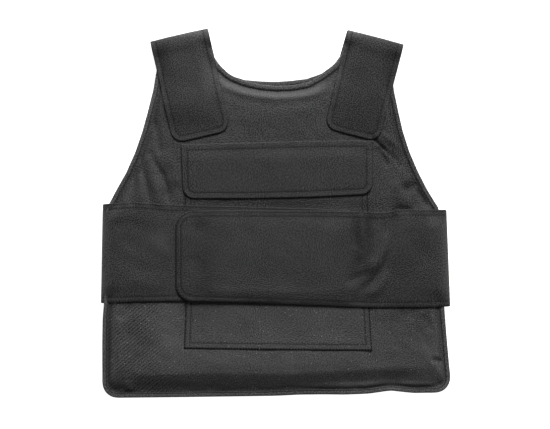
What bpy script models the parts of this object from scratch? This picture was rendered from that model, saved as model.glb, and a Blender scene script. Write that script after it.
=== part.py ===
"""A stab vest laid flat on its back: two padded panels with bound edges, two shoulder straps, two
side belts that close over the front, and a plate pocket with a flap.

Metres. +Z is up and +Y runs from the hem to the neck. Left and right are as seen from above, with
the neck at the top. The vest lies on z = 0, and the origin is below the middle of its outline."""

import math

import bmesh
import bpy
from mathutils import Vector

# Padded panels: a pad with a flat rim that the binding folds over
PAD_THICKNESS = 0.0120
RIM_THICKNESS = 0.0020
BACK_TOP = 0.0135
FRONT_SEAT = 0.0215
ROOT_RECESS = 0.0037
ARCH_HALF_WIDTH = 0.272

# How high the front panel arches over the back one at its middle, hem to shoulders
ARCH = (  # y, height
    (-0.300, 0.0105),
    (-0.150, 0.0130),
    (0.050, 0.0130),
    (0.150, 0.0100),
    (0.215, 0.0050),
    (0.285, 0.0010),
)

# Side seams and armholes, as the binding's outer edge
SIDES = (  # y, left x, right x
    (-0.250, -0.2772, 0.2796),
    (-0.205, -0.2774, 0.2742),
    (-0.166, -0.2766, 0.2712),
    (-0.146, -0.2740, 0.2686),
    (-0.060, -0.2728, 0.2660),
    (-0.005, -0.2718, 0.2630),
    (0.018, -0.2680, 0.2558),
    (0.042, -0.2508, 0.2393),
    (0.078, -0.2325, 0.2222),
    (0.117, -0.2170, 0.2070),
    (0.168, -0.2026, 0.1948),
    (0.218, -0.1914, 0.1858),
    (0.265, -0.1882, 0.1862),
)
SHOULDER_INNER = ((-0.1125, 0.2830), (0.1170, 0.2810))

# Necklines between the inner shoulder corners
FRONT_NECK = (  # x, y
    (-0.1075, 0.2660),
    (-0.0978, 0.2470),
    (-0.0770, 0.2235),
    (-0.0500, 0.2115),
    (-0.0266, 0.2056),
    (0.0040, 0.2030),
    (0.0400, 0.2056),
    (0.0600, 0.2125),
    (0.0886, 0.2318),
    (0.1025, 0.2480),
    (0.1115, 0.2640),
)
BACK_NECK = (  # x, y
    (-0.1075, 0.2670),
    (-0.0978, 0.2488),
    (-0.0780, 0.2240),
    (-0.0590, 0.2160),
    (-0.0400, 0.2124),
    (0.0020, 0.2106),
    (0.0400, 0.2140),
    (0.0650, 0.2194),
    (0.0880, 0.2332),
    (0.1020, 0.2490),
    (0.1115, 0.2650),
)

# Hem: a slanting line with two lifted waves and round corners
HEM_LEFT_Y = -0.2959
HEM_RIGHT_Y = -0.2870
HEM_CORNER = 0.0240
LEAST_CORNER = 0.0040
HEM_WAVES = (  # x, lift, half width
    (0.055, 0.0030, 0.018),
    (0.181, 0.0050, 0.024),
)

# From the panel's edge to its full pad: how far in from sides and neck, how far in from the hem,
# and the share of the pad's thickness
BINDING_WALL = 0.0010
SHEET_GAP = 0.0004
RIM_ROWS = (
    (0.0210, 0.0380, 1.00),
    (0.0160, 0.0290, 0.82),
    (0.0125, 0.0200, 0.52),
    (0.0100, 0.0130, 0.00),
    (BINDING_WALL + SHEET_GAP, BINDING_WALL + SHEET_GAP, 0.00),
)
BINDING_WIDTH = 0.0085

# Where the back panel is pressed up by the roots of belts and straps: each step runs from none to
# the whole recess
BELT_RECESS_X = (0.110, 0.140)
BELT_RECESS_LOW_Y = (-0.200, -0.170)
BELT_RECESS_HIGH_Y = (0.070, 0.040)
STRAP_RECESS_X = (0.030, 0.060)
STRAP_RECESS_Y = (0.145, 0.175)

# Segments of the outline
CORNER_STEPS = 2
HEM_STEPS = 14
SIDE_STEPS = 16
TAB_STEPS = 3
NECK_STEPS = 12
GRID_STEPS = HEM_STEPS + 2 * CORNER_STEPS
HALF_CORNER = 45

# Creases pressed into the front panel beside the armholes
CREASES = (  # start x, start y, end x, end y, depth, half width
    (0.157, 0.112, 0.190, 0.080, 0.0026, 0.014),
    (0.184, 0.112, 0.208, 0.068, 0.0020, 0.012),
    (-0.176, 0.086, -0.168, 0.030, 0.0022, 0.014),
)

# Cloth sheets over the panels
LAYER_GAP = 0.0006
BELT_THICKNESS = 0.0030
STRAP_THICKNESS = 0.0030
POCKET_THICKNESS = 0.0016
FLAP_THICKNESS = 0.0026
FLAP_LIFT = 0.0015
LAYER_SLOPE = 0.0130

# Strips folded round an edge: the steps under the panel, the angles of the points round the turn
# in degrees, how full the turn is, and the places of the points along a round end
ROOT_STEPS = 3
TURN_ANGLES = range(-90, 90, 20)
TURN_FULLNESS = 0.85
END_SHARES = (0.6, 0.3, 0.1, 0.0)

# Belts: the root under the back panel, and the turns below and above the fold at each side
BELT_ROOT_X = 0.168
BELT_TURN_LOW = 0.0170
BELT_TURN_HIGH = 0.0300
BELT_MIDDLE_Y = -0.0650
BELT_ROWS = 7
LEFT_BELT_FOLD = 0.2776
RIGHT_BELT_FOLD = 0.2757
LEFT_BELT_END = 0.1175
RIGHT_BELT_END = -0.1590
BELT_END_RADIUS = 0.0280
LEFT_BELT_EDGES = (  # x, top y, bottom y
    (-0.2800, 0.0141, -0.1443),
    (-0.2230, 0.0173, -0.1416),
    (-0.1700, 0.0131, -0.1406),
    (-0.0970, 0.0109, -0.1400),
    (0.0630, 0.0067, -0.1400),
    (0.1175, 0.0035, -0.1420),
)
RIGHT_BELT_EDGES = (  # x, top y, bottom y
    (-0.1590, 0.0030, -0.1398),
    (-0.1000, 0.0038, -0.1416),
    (0.0710, 0.0034, -0.1465),
    (0.1366, 0.0019, -0.1498),
    (0.1600, 0.0004, -0.1506),
    (0.2022, 0.0051, -0.1506),
    (0.2800, 0.0051, -0.1494),
)
LEFT_BELT_RUNS = (  # start x, end x, steps
    (BELT_TURN_HIGH - LEFT_BELT_FOLD, -0.1570, 4),
    (-0.1430, LEFT_BELT_END, 11),
)
RIGHT_BELT_RUNS = (  # start x, end x, steps
    (RIGHT_BELT_FOLD - BELT_TURN_HIGH, 0.1630, 5),
    (0.1500, 0.1320, 1),
    (0.1180, RIGHT_BELT_END + BELT_END_RADIUS, 10),
)
LEFT_BELT = {
    "side": -1,
    "fold": LEFT_BELT_FOLD,
    "slant": 0.0190,
    "end": LEFT_BELT_END,
    "edges": LEFT_BELT_EDGES,
    "runs": LEFT_BELT_RUNS,
}
RIGHT_BELT = {
    "side": 1,
    "fold": RIGHT_BELT_FOLD,
    "slant": 0.0400,
    "end": RIGHT_BELT_END,
    "end_radius": BELT_END_RADIUS,
    "edges": RIGHT_BELT_EDGES,
    "runs": RIGHT_BELT_RUNS,
}
BELT_FOLDS = (  # start x, start y, end x, end y, height, half width
    (0.184, -0.050, 0.129, -0.128, 0.0032, 0.010),
    (0.150, -0.004, 0.147, -0.075, 0.0014, 0.008),
)

# Shoulder straps: the middle of the fold, the way the strap runs from it, and its size
STRAP_HALF_WIDTH = 0.0470
STRAP_TURN = 0.0200
STRAP_ROOT = 0.0750
STRAP_END_RADIUS = 0.0190
STRAP_GAP = 0.0010
STRAP_DROOP = 0.0022
STRAP_DROOP_WIDTH = 0.0190
STRAP_STEPS = 8
STRAP_ROWS = 6
LEFT_STRAP = {"fold": (-0.1545, 0.2838), "slant": 13.0, "length": 0.1672}
RIGHT_STRAP = {"fold": (0.1590, 0.2806), "slant": -14.6, "length": 0.1612}

# Plate pocket and its flap
POCKET_COLUMNS = 10
POCKET_ROWS = 9
POCKET_EDGES = (  # y, left x, right x
    (-0.2160, -0.1456, 0.1533),
    (-0.1500, -0.1430, 0.1492),
    (0.0050, -0.1442, 0.1470),
    (0.0900, -0.1445, 0.1467),
)
FLAP_EDGES = (  # x, top y, bottom y
    (-0.1505, 0.1090, 0.0230),
    (-0.0410, 0.1118, 0.0230),
    (0.0520, 0.1145, 0.0250),
    (0.1130, 0.1153, 0.0280),
    (0.1540, 0.1150, 0.0300),
)
FLAP_CORNER = 0.0200
FLAP_STEP_Y = 0.1000
FLAP_SEAM_Y = 0.1120
FLAP_COLUMNS = 12
FLAP_SHARES = (0.0, 0.02, 0.08, 0.2, 0.5, 0.82, 0.94, 1.0)

# Finishes
CLOTH_ROUGHNESS = 0.85
SHARP_ANGLE = 40
CLOTH = (0.052, 0.052, 0.053)
BELT_CLOTH = (0.045, 0.045, 0.046)
TAPE = (0.038, 0.038, 0.039)


def smooth(value, low, high):
    """0 up to low, 1 from high on, and an S-shaped step between them."""
    t = min(max((value - low) / (high - low), 0.0), 1.0)
    return t * t * (3 - 2 * t)


def table(rows, at, column=1):
    """A column of a table, read between its rows."""
    if at <= rows[0][0]:
        return rows[0][column]
    for low, high in zip(rows, rows[1:]):
        if at <= high[0]:
            share = (at - low[0]) / (high[0] - low[0])
            return low[column] + share * (high[column] - low[column])
    return rows[-1][column]


def segment_distance(point, start, end):
    """How far a point is from a straight stretch."""
    along = end - start
    share = min(max((point - start).dot(along) / along.length_squared, 0.0), 1.0)
    return (point - start - share * along).length


def ridges(rows, x, y):
    """The summed height of long low ridges at a point."""
    here = Vector((x, y))
    height = 0.0
    for x0, y0, x1, y1, top, half_width in rows:
        away = segment_distance(here, Vector((x0, y0)), Vector((x1, y1)))
        height += top * math.exp(-((away / half_width) ** 2))
    return height


def smooth_line(points, steps, fineness=10):
    """Evenly spaced points along a smooth curve through the given ones."""
    ends = [2 * points[0] - points[1], *points, 2 * points[-1] - points[-2]]
    fine = []
    for a, b, c, d in zip(ends, ends[1:], ends[2:], ends[3:]):
        for k in range(fineness):
            t = k / fineness
            bend = (2 * a - 5 * b + 4 * c - d) * t * t + (3 * b - a - 3 * c + d) * t**3
            fine.append(b + 0.5 * ((c - a) * t + bend))
    fine.append(points[-1])
    return even_line(fine, steps)


def even_line(line, steps):
    """The line again, as a given number of equal steps."""
    lengths = [(b - a).length for a, b in zip(line, line[1:])]
    step = sum(lengths) / steps
    result = [line[0].copy()]
    passed = 0.0
    for a, b, length in zip(line, line[1:], lengths):
        while len(result) < steps and passed + length >= step * len(result):
            result.append(a.lerp(b, (step * len(result) - passed) / length))
        passed += length
    result.append(line[-1].copy())
    return result


def inset_line(line, inset):
    """A line moved to its right-hand side, seen along it."""
    moved = []
    for i, point in enumerate(line):
        along = (line[min(i + 1, len(line) - 1)] - line[max(i - 1, 0)]).normalized()
        moved.append(point + inset * Vector((along.y, -along.x)))
    return moved


def inset_corner(before, corner, after, inset):
    """A corner of an outline, run clockwise, moved in by the same distance from both its sides."""
    first = (corner - before).normalized()
    second = (after - corner).normalized()
    normals = Vector((first.y, -first.x)), Vector((second.y, -second.x))
    return corner + inset * (normals[0] + normals[1]) / (1 + normals[0].dot(normals[1]))


def hem_height(x):
    """The hem's lower edge."""
    reach = SIDES[0][2] - SIDES[0][1]
    share = (x - SIDES[0][1]) / reach
    waves = sum(lift * math.exp(-(((x - at) / width) ** 2)) for at, lift, width in HEM_WAVES)
    return HEM_LEFT_Y + share * (HEM_RIGHT_Y - HEM_LEFT_Y) + waves


def corner_arc(centre, radius, turn):
    """Half of a round hem corner, from its middle on the diagonal by the given turn in degrees."""
    start = math.atan2(-1, math.copysign(1, centre.x))
    angles = [start + math.radians(turn) * k / CORNER_STEPS for k in range(CORNER_STEPS + 1)]
    return [centre + radius * Vector((math.cos(a), math.sin(a))) for a in angles]


def panel_outline(neck, side_inset, hem_inset):
    """The four sides of a panel moved in from its edge: hem, left, top and right. The hem and the
    top run to the right, and the sides run up."""
    radius = max(HEM_CORNER - side_inset, LEAST_CORNER)
    left_edge = [Vector((row[1], row[0])) for row in SIDES]
    right_edge = [Vector((row[2], row[0])) for row in SIDES]
    left_centre = Vector((left_edge[0].x + side_inset + radius, 0))
    right_centre = Vector((right_edge[0].x - side_inset - radius, 0))
    for centre in (left_centre, right_centre):
        centre.y = hem_height(centre.x) + hem_inset + radius
    hem = corner_arc(left_centre, radius, HALF_CORNER)[:-1]
    for k in range(HEM_STEPS + 1):
        x = left_centre.x + k / HEM_STEPS * (right_centre.x - left_centre.x)
        hem.append(Vector((x, hem_height(x) + hem_inset)))
    hem += corner_arc(right_centre, radius, -HALF_CORNER)[::-1][1:]

    left_inner, right_inner = (Vector(point) for point in SHOULDER_INNER)
    neck_line = [left_inner, *(Vector(point) for point in neck), right_inner]
    left_outer, right_outer = left_edge[-1], right_edge[-1]
    corners = (
        inset_corner(left_edge[-2], left_outer, left_inner, side_inset),
        inset_corner(left_outer, left_inner, neck_line[1], side_inset),
        inset_corner(neck_line[-2], right_inner, right_outer, side_inset),
        inset_corner(right_inner, right_outer, right_edge[-2], side_inset),
    )
    curve = inset_line(smooth_line(neck_line, NECK_STEPS), side_inset)
    top = even_line(corners[:2], TAB_STEPS)[:-1]
    top += [corners[1], *curve[1:-1]]
    top += even_line(corners[2:], TAB_STEPS)

    sides = []
    for curve, centre, end in (
        (inset_line(left_edge, side_inset), left_centre, corners[0]),
        (inset_line(right_edge, -side_inset), right_centre, corners[3]),
    ):
        start = Vector((centre.x + math.copysign(radius, centre.x), centre.y))
        rest = [point for point in curve if point.y > centre.y + radius]
        line = smooth_line([start, *rest[:-1], end], SIDE_STEPS)
        turn = math.copysign(HALF_CORNER, centre.x)
        sides.append(corner_arc(centre, radius, turn)[:-1] + line)
    return hem, sides[0], top, sides[1]


def around(hem, left, top, right):
    """The four sides as one closed loop, anticlockwise from the hem's left corner."""
    return hem[:-1] + right[:-1] + top[::-1][:-1] + left[::-1][:-1]


def between(hem, left, top, right, i, j):
    """A point of the patch that the four sides span."""
    u, v = i / GRID_STEPS, j / GRID_STEPS
    across = hem[i] * (1 - v) + top[i] * v
    along = left[j] * (1 - u) + right[j] * u
    low = hem[0] * (1 - u) + hem[-1] * u
    high = top[0] * (1 - u) + top[-1] * u
    return across + along - low * (1 - v) - high * v


def loop_station(i, j):
    """Where a point of the grid's rim comes in the closed loop, or None inside it."""
    n = GRID_STEPS
    if j == 0:
        return i
    if i == n:
        return n + j
    if j == n:
        return 3 * n - i
    return 4 * n - j if i == 0 else None


def front_inner(x, y):
    """The front panel's lower face, which arches over the back one."""
    across = max(1 - (x / ARCH_HALF_WIDTH) ** 2, 0.0)
    return FRONT_SEAT + table(ARCH, y) * across


def front_top(x, y):
    """The front panel's upper face where its pad is full."""
    return front_inner(x, y) + PAD_THICKNESS


def pressed_floor(x, y):
    """The back panel's lower face: on the floor, and raised over the roots of belts and straps."""
    below = smooth(y, *BELT_RECESS_LOW_Y)
    above = 1 - smooth(y, *BELT_RECESS_HIGH_Y[::-1])
    belts = smooth(abs(x), *BELT_RECESS_X) * below * above
    straps = smooth(abs(x), *STRAP_RECESS_X) * smooth(y, *STRAP_RECESS_Y)
    return ROOT_RECESS * max(belts, straps)


def front_under(x, y, share):
    return front_inner(x, y)


def front_over(x, y, share):
    rise = share * (PAD_THICKNESS - RIM_THICKNESS)
    return front_inner(x, y) + RIM_THICKNESS + rise - share * ridges(CREASES, x, y)


def back_over(x, y, share):
    return BACK_TOP


def back_under(x, y, share):
    return (1 - share) * (BACK_TOP - RIM_THICKNESS) + share * pressed_floor(x, y)


def fabric(name, colour):
    material = bpy.data.materials.new(name)
    material.use_nodes = True
    shader = material.node_tree.nodes["Principled BSDF"]
    shader.inputs["Base Color"].default_value = (*colour, 1)
    shader.inputs["Roughness"].default_value = CLOTH_ROUGHNESS
    shader.inputs["Metallic"].default_value = 0.0
    return material


def add_object(name, bm, material, collection):
    mesh = bpy.data.meshes.new(name)
    bm.to_mesh(mesh)
    bm.free()
    mesh.shade_smooth()
    mesh.set_sharp_from_angle(angle=math.radians(SHARP_ANGLE))
    mesh.materials.append(material)
    obj = bpy.data.objects.new(name, mesh)
    collection.objects.link(obj)
    return obj


def padded_panel(name, neck, under, over, material, collection):
    """A pad with a thin rim: a grid over the full pad, rings out to the edge, and two skins."""
    bm = bmesh.new()
    share = bm.verts.layers.float.new("share")
    bmesh.ops.create_grid(bm, x_segments=GRID_STEPS, y_segments=GRID_STEPS, size=0.5)
    inner = panel_outline(neck, *RIM_ROWS[0][:2])
    ring = {}
    for vert in bm.verts:
        i, j = (round((value + 0.5) * GRID_STEPS) for value in vert.co.xy)
        vert.co.xy = between(*inner, i, j)
        vert[share] = RIM_ROWS[0][2]
        if loop_station(i, j) is not None:
            ring[vert] = loop_station(i, j)
    for side_inset, hem_inset, thickness_share in RIM_ROWS[1:]:
        loop = around(*panel_outline(neck, side_inset, hem_inset))
        edges = [edge for edge in bm.edges if edge.is_boundary]
        made = bmesh.ops.extrude_edge_only(bm, edges=edges)["geom"]
        outer = {}
        for vert in made:
            if not isinstance(vert, bmesh.types.BMVert):
                continue
            neighbours = [edge.other_vert(vert) for edge in vert.link_edges]
            station = next(ring[other] for other in neighbours if other in ring)
            vert.co.xy = loop[station]
            vert[share] = thickness_share
            outer[vert] = station
        ring = outer
    lower = list(bm.verts)
    made = bmesh.ops.extrude_face_region(bm, geom=bm.faces[:])["geom"]
    for vert in made:
        if isinstance(vert, bmesh.types.BMVert):
            vert.co.z = over(vert.co.x, vert.co.y, vert[share])
    for vert in lower:
        vert.co.z = under(vert.co.x, vert.co.y, vert[share])
    bmesh.ops.recalc_face_normals(bm, faces=bm.faces)
    return add_object(name, bm, material, collection)


def cloth_sheet(name, columns, rows, place, thickness, material, collection, closed=False):
    """A sheet of even thickness about a surface that place gives, for each column and row."""
    bm = bmesh.new()
    bmesh.ops.create_grid(bm, x_segments=columns, y_segments=rows, size=0.5)
    for vert in bm.verts:
        vert.co = place(round((vert.co.x + 0.5) * columns), round((vert.co.y + 0.5) * rows))
    if closed:
        bmesh.ops.remove_doubles(bm, verts=bm.verts, dist=SHEET_GAP / 4)
    bmesh.ops.recalc_face_normals(bm, faces=bm.faces)
    obj = add_object(name, bm, material, collection)
    wall = obj.modifiers.new("Thickness", "SOLIDIFY")
    wall.thickness = thickness
    wall.offset = 0.0
    wall.use_even_offset = True
    return obj


def edge_binding(name, neck, rim_bottom, material, collection):
    """A tape folded over a panel's rim all the way round."""
    away = SHEET_GAP + BINDING_WALL / 2
    loops = [
        around(*panel_outline(neck, inset, inset)) for inset in (BINDING_WALL / 2, BINDING_WIDTH)
    ]
    profile = (  # loop, height over the rim's lower face
        (loops[1], -away),
        (loops[0], -away),
        (loops[0], RIM_THICKNESS + away),
        (loops[1], RIM_THICKNESS + away),
    )

    def place(column, row):
        loop, height = profile[row]
        x, y = loop[column % len(loop)]
        return Vector((x, y, rim_bottom(x, y) + height))

    steps = len(loops[0])
    rows = len(profile) - 1
    return cloth_sheet(name, steps, rows, place, BINDING_WALL, material, collection, closed=True)


def back_rim_bottom(x, y):
    return BACK_TOP - RIM_THICKNESS


def steps_between(start, end, count):
    return [start + (end - start) * k / count for k in range(count + 1)]


def narrowing(to_end, radius):
    """How much a round corner takes off a sheet's side at a distance from its end."""
    inside = max(radius - to_end, 0.0)
    return radius - math.sqrt(max(radius * radius - inside * inside, 0.0))


def folded_path(root, turn_low, turn_high, front):
    """The run of a strip folded round an edge: reach is how far in from the fold, lift is 0 below
    the panels and 1 on top of them. front lists the reaches on top, from the turn to the end."""
    path = [(reach, 0.0) for reach in steps_between(root, turn_low, ROOT_STEPS)[:-1]]
    for angle in TURN_ANGLES:
        depth = turn_low if angle < 0 else turn_high
        bend = math.radians(angle)
        lift = (1 + math.copysign(abs(math.sin(bend)) ** TURN_FULLNESS, bend)) / 2
        path.append((depth * (1 - math.cos(bend) ** TURN_FULLNESS), lift))
    return path + [(reach, 1.0) for reach in front]


def pocket_layer(x):
    """The height that the plate pocket adds under a belt."""
    left_foot = POCKET_EDGES[1][1] - LAYER_GAP
    right_foot = POCKET_EDGES[1][2] + LAYER_GAP
    left = smooth(x, left_foot - LAYER_SLOPE, left_foot)
    right = 1 - smooth(x, right_foot, right_foot + LAYER_SLOPE)
    return (POCKET_THICKNESS + LAYER_GAP) * left * right


def left_belt_layer(x):
    """The height that the left belt adds under the right one."""
    foot = LEFT_BELT_END + LAYER_GAP
    return (BELT_THICKNESS + LAYER_GAP) * (1 - smooth(x, foot, foot + LAYER_SLOPE))


def left_belt_support(x, y):
    return front_top(x, y) + pocket_layer(x)


def right_belt_support(x, y):
    folds = ridges(BELT_FOLDS, x, y)
    return front_top(x, y) + pocket_layer(x) + left_belt_layer(x) + folds


def side_belt(name, spec, support, material, collection):
    """A belt from its root under the back panel, round the side and over the front. Its side is -1
    on the left and 1 on the right, and its runs give the places along x that it has points at."""
    side, fold = spec["side"], spec["fold"]
    radius = spec.get("end_radius", 0.0)
    stations = [x for run in spec["runs"] for x in steps_between(*run)]
    if radius:
        stations += [spec["end"] + side * radius * share for share in END_SHARES]
    reaches = [fold - side * x for x in stations]
    path = folded_path(fold - BELT_ROOT_X, BELT_TURN_LOW, BELT_TURN_HIGH, reaches)
    middle = BELT_THICKNESS / 2

    def place(column, row):
        reach, lift = path[column]
        x = side * (fold - reach)
        at = x if lift == 1 else side * fold
        top, bottom = table(spec["edges"], at, 1), table(spec["edges"], at, 2)
        cut = narrowing(side * (x - spec["end"]), radius) if lift == 1 and radius else 0.0
        y = bottom + cut + (top - bottom - 2 * cut) * row / BELT_ROWS
        slanted = spec["slant"] * (1 - smooth(reach, 0.0, 2 * BELT_TURN_HIGH))
        x += side * slanted * (BELT_MIDDLE_Y - y)
        upper = support(x, y) + LAYER_GAP + middle
        return Vector((x, y, middle + (upper - middle) * lift))

    columns = len(path) - 1
    return cloth_sheet(name, columns, BELT_ROWS, place, BELT_THICKNESS, material, collection)


def edge_distance(loop, x, y):
    """How far a point lies inside a closed outline; 0 outside it."""
    here = Vector((x, y))
    inside = False
    nearest = math.inf
    for a, b in zip(loop, loop[1:] + loop[:1]):
        nearest = min(nearest, segment_distance(here, a, b))
        if (a.y > y) != (b.y > y) and x < a.x + (y - a.y) / (b.y - a.y) * (b.x - a.x):
            inside = not inside
    return nearest if inside else 0.0


def shoulder_strap(name, spec, material, collection):
    """A strap from its root under the back panel's shoulder, over the top and down the front."""
    slant = math.radians(spec["slant"])
    run = Vector((math.sin(slant), -math.cos(slant)))
    across = Vector((math.cos(slant), math.sin(slant)))
    fold = Vector(spec["fold"])
    end = spec["length"]
    loop = around(*panel_outline(FRONT_NECK, 0.0, 0.0))
    front = steps_between(STRAP_TURN, end - STRAP_END_RADIUS, STRAP_STEPS)
    front += [end - STRAP_END_RADIUS * share for share in END_SHARES]
    path = folded_path(STRAP_ROOT, STRAP_TURN, STRAP_TURN, front)
    middle = STRAP_THICKNESS / 2

    def place(column, row):
        reach, lift = path[column]
        cut = narrowing(end - reach, STRAP_END_RADIUS) if lift == 1 else 0.0
        half = STRAP_HALF_WIDTH - cut
        x, y = fold + reach * run + half * (2 * row / STRAP_ROWS - 1) * across
        inside = smooth(edge_distance(loop, x, y), 0.0, STRAP_DROOP_WIDTH)
        upper = front_top(x, y) - STRAP_DROOP * (1 - inside) + STRAP_GAP + middle
        return Vector((x, y, middle + (upper - middle) * lift))

    columns = len(path) - 1
    return cloth_sheet(name, columns, STRAP_ROWS, place, STRAP_THICKNESS, material, collection)


def plate_pocket(material, collection):
    ys = steps_between(POCKET_EDGES[0][0], POCKET_EDGES[-1][0], POCKET_ROWS)

    def place(column, row):
        y = ys[row]
        left, right = table(POCKET_EDGES, y, 1), table(POCKET_EDGES, y, 2)
        x = left + (right - left) * column / POCKET_COLUMNS
        return Vector((x, y, front_top(x, y) + LAYER_GAP + POCKET_THICKNESS / 2))

    size = POCKET_COLUMNS, POCKET_ROWS
    return cloth_sheet("plate_pocket", *size, place, POCKET_THICKNESS, material, collection)


def pocket_flap(material, collection):
    left, right = FLAP_EDGES[0][0], FLAP_EDGES[-1][0]

    def place(column, row):
        x = left + (right - left) * column / FLAP_COLUMNS
        top, bottom = table(FLAP_EDGES, x, 1), table(FLAP_EDGES, x, 2)
        y = bottom + (top - bottom) * FLAP_SHARES[row]
        cut = narrowing(y - bottom, FLAP_CORNER)
        middle = (left + right) / 2
        x = middle + (x - middle) * (1 - 2 * cut / (right - left))
        over_pocket = (POCKET_THICKNESS + LAYER_GAP) * (1 - smooth(y, FLAP_STEP_Y, FLAP_SEAM_Y))
        lift = FLAP_LIFT * (1 - smooth(y - bottom, 0.0, FLAP_CORNER))
        z = front_top(x, y) + over_pocket + lift + LAYER_GAP + FLAP_THICKNESS / 2
        return Vector((x, y, z))

    rows = len(FLAP_SHARES) - 1
    return cloth_sheet("pocket_flap", FLAP_COLUMNS, rows, place, FLAP_THICKNESS, material, collection)


def main():
    for obj in list(bpy.data.objects):
        bpy.data.objects.remove(obj)
    vest = bpy.data.collections.new("stab_vest")
    bpy.context.scene.collection.children.link(vest)
    cloth, belt_cloth, tape = (
        fabric("shell_cloth", CLOTH),
        fabric("belt_cloth", BELT_CLOTH),
        fabric("binding_tape", TAPE),
    )
    padded_panel("back_panel", BACK_NECK, back_under, back_over, cloth, vest)
    padded_panel("front_panel", FRONT_NECK, front_under, front_over, cloth, vest)
    edge_binding("back_edge_binding", BACK_NECK, back_rim_bottom, tape, vest)
    edge_binding("front_edge_binding", FRONT_NECK, front_inner, tape, vest)
    shoulder_strap("shoulder_strap_left", LEFT_STRAP, belt_cloth, vest)
    shoulder_strap("shoulder_strap_right", RIGHT_STRAP, belt_cloth, vest)
    plate_pocket(cloth, vest)
    pocket_flap(belt_cloth, vest)
    side_belt("belt_left", LEFT_BELT, left_belt_support, belt_cloth, vest)
    side_belt("belt_right", RIGHT_BELT, right_belt_support, belt_cloth, vest)


main()
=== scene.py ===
"""A stab vest laid flat on a pale floor: padded panels, bound edges, straps, belts and a pocket.

Metres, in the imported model's frame: +Z is up and +Y runs from the hem to the neck. Each piece of
cloth is cut flat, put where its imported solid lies, and given its wall. Its UV map is its cut."""

import math

import bmesh
import bpy
import numpy as np
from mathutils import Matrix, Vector, noise
from mathutils.bvhtree import BVHTree
from mathutils.geometry import delaunay_2d_cdt


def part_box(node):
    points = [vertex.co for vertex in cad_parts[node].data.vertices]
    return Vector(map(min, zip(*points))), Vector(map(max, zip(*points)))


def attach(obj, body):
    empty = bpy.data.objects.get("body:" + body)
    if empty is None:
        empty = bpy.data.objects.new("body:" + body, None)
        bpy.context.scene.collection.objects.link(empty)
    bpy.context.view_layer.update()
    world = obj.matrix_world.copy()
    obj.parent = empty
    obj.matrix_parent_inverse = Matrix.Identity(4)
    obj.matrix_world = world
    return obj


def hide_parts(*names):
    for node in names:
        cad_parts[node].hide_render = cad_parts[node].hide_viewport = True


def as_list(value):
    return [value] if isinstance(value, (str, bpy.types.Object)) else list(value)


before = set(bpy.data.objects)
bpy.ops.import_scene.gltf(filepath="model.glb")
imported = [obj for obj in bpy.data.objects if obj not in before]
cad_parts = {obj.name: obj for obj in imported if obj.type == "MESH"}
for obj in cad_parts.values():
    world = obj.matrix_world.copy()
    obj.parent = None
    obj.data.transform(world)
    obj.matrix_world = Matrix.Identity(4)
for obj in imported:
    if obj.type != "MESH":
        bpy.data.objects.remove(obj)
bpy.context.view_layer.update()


TENTHS = 10000


def metres(rows):
    """A table that is given in tenths of a millimetre."""
    return tuple(metres(row) if isinstance(row, tuple) else row / TENTHS for row in rows)


# Camera: straight down over the middle of the vest
VIEW_WIDTH = 0.880
VIEW_CENTRE = -0.0010, -0.0024
CLOTH_HEIGHT = 0.02
LENS = 135.0
SENSOR = 36.0

# Room: its soft glow, its floor, and its lights by name, power, width, place and aim
WHITE = 1, 1, 1, 1
ROOM_GLOW = 0.05
FLOOR_SIZE = 40
LIGHTS = (
    ("window", 615, 3.4, (1.0, 5.6, 4.0), (0, 0, 0)),
    ("room", 6, 1.6, (0.3, -0.9, 3.2), (0, -0.1, 0)),
)

# Cloths: darkest and lightest colour, pitch and turn of the ribs, pitch of the broad ribs and how
# much they show, loose fibres, how much lighter the low part is by painted light and the straps'
# folds by a painted highlight, how dark the painted shade in the seams' grooves and in the line
# under the edges is, roughness, and how much grain shows
SHELL_TWILL = {
    "dark": (0.008, 0.008, 0.0084), "light": (0.108, 0.108, 0.109),
    "pitch": 0.0011, "turn": 50, "broad": 0.0046, "show": 0.42,
    "lint": 1.0, "low": 0.15, "fold_highlight": 0.0, "painted_shade_depth": 0.56, "rough": 0.66, "grain": 0.80,
}
BELT_TWILL = {
    "dark": (0.007, 0.007, 0.0074), "light": (0.092, 0.092, 0.093),
    "pitch": 0.0009, "turn": 50, "broad": 0.0040, "show": 0.06,
    "lint": 0.3, "low": 0.0, "fold_highlight": 0.6, "painted_shade_depth": 0.56, "rough": 0.64, "grain": 0.76,
}
TAPE_RIBS = {
    "dark": (0.010, 0.010, 0.0104), "light": (0.182, 0.182, 0.184),
    "pitch": 0.0008, "turn": 0, "broad": 0.0030, "show": 0.05,
    "lint": 0.3, "low": 0.0, "fold_highlight": 0.0, "painted_shade_depth": 0.96, "rough": 0.58, "grain": 0.8,
}

# Ribs: the cross threads' pitch against the main ones, and the turn of the ribs that fall the
# other way high on the left
CROSS_PITCH = 0.6
FALLING_TURN = 62

# At a scale of 1 a wave pattern turns by this many radians in each metre
WAVE_RADIANS = 20

# Mottling: clouds a metre, their detail and roughness, and the two values between which it steps
PATCHES = 11.0, 2.0, 0.5, 0.44, 0.68
GRIT = 640.0, 1.0, 0.5, 0.40, 0.60
SPECKLE = 330.0, 1.0, 0.5, 0.36, 0.64
DRIFT = 16.0, 3.0, 0.6, 0.30, 0.70
DASHES = 1.0, 1.0, 0.5, 0.40, 0.60
DASH_SIZE = 0.0055, 0.0021, 1.0

# Parts of the vest by place, for the weave, its loose fibres and painted light and shade: the left
# one in x times a number, the low one in a number less y, the others in x or y
LEFT_TIMES = -5.0
LEFT_PART = 0.60, 1.0
LOW_LESS = 0.5
LOW_PART = 0.62, 0.66
SHOULDER_X = 0.10, 0.20
SHOULDER_Y = 0.02, 0.10
STRAP_TOP = 0.279, 0.289

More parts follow.
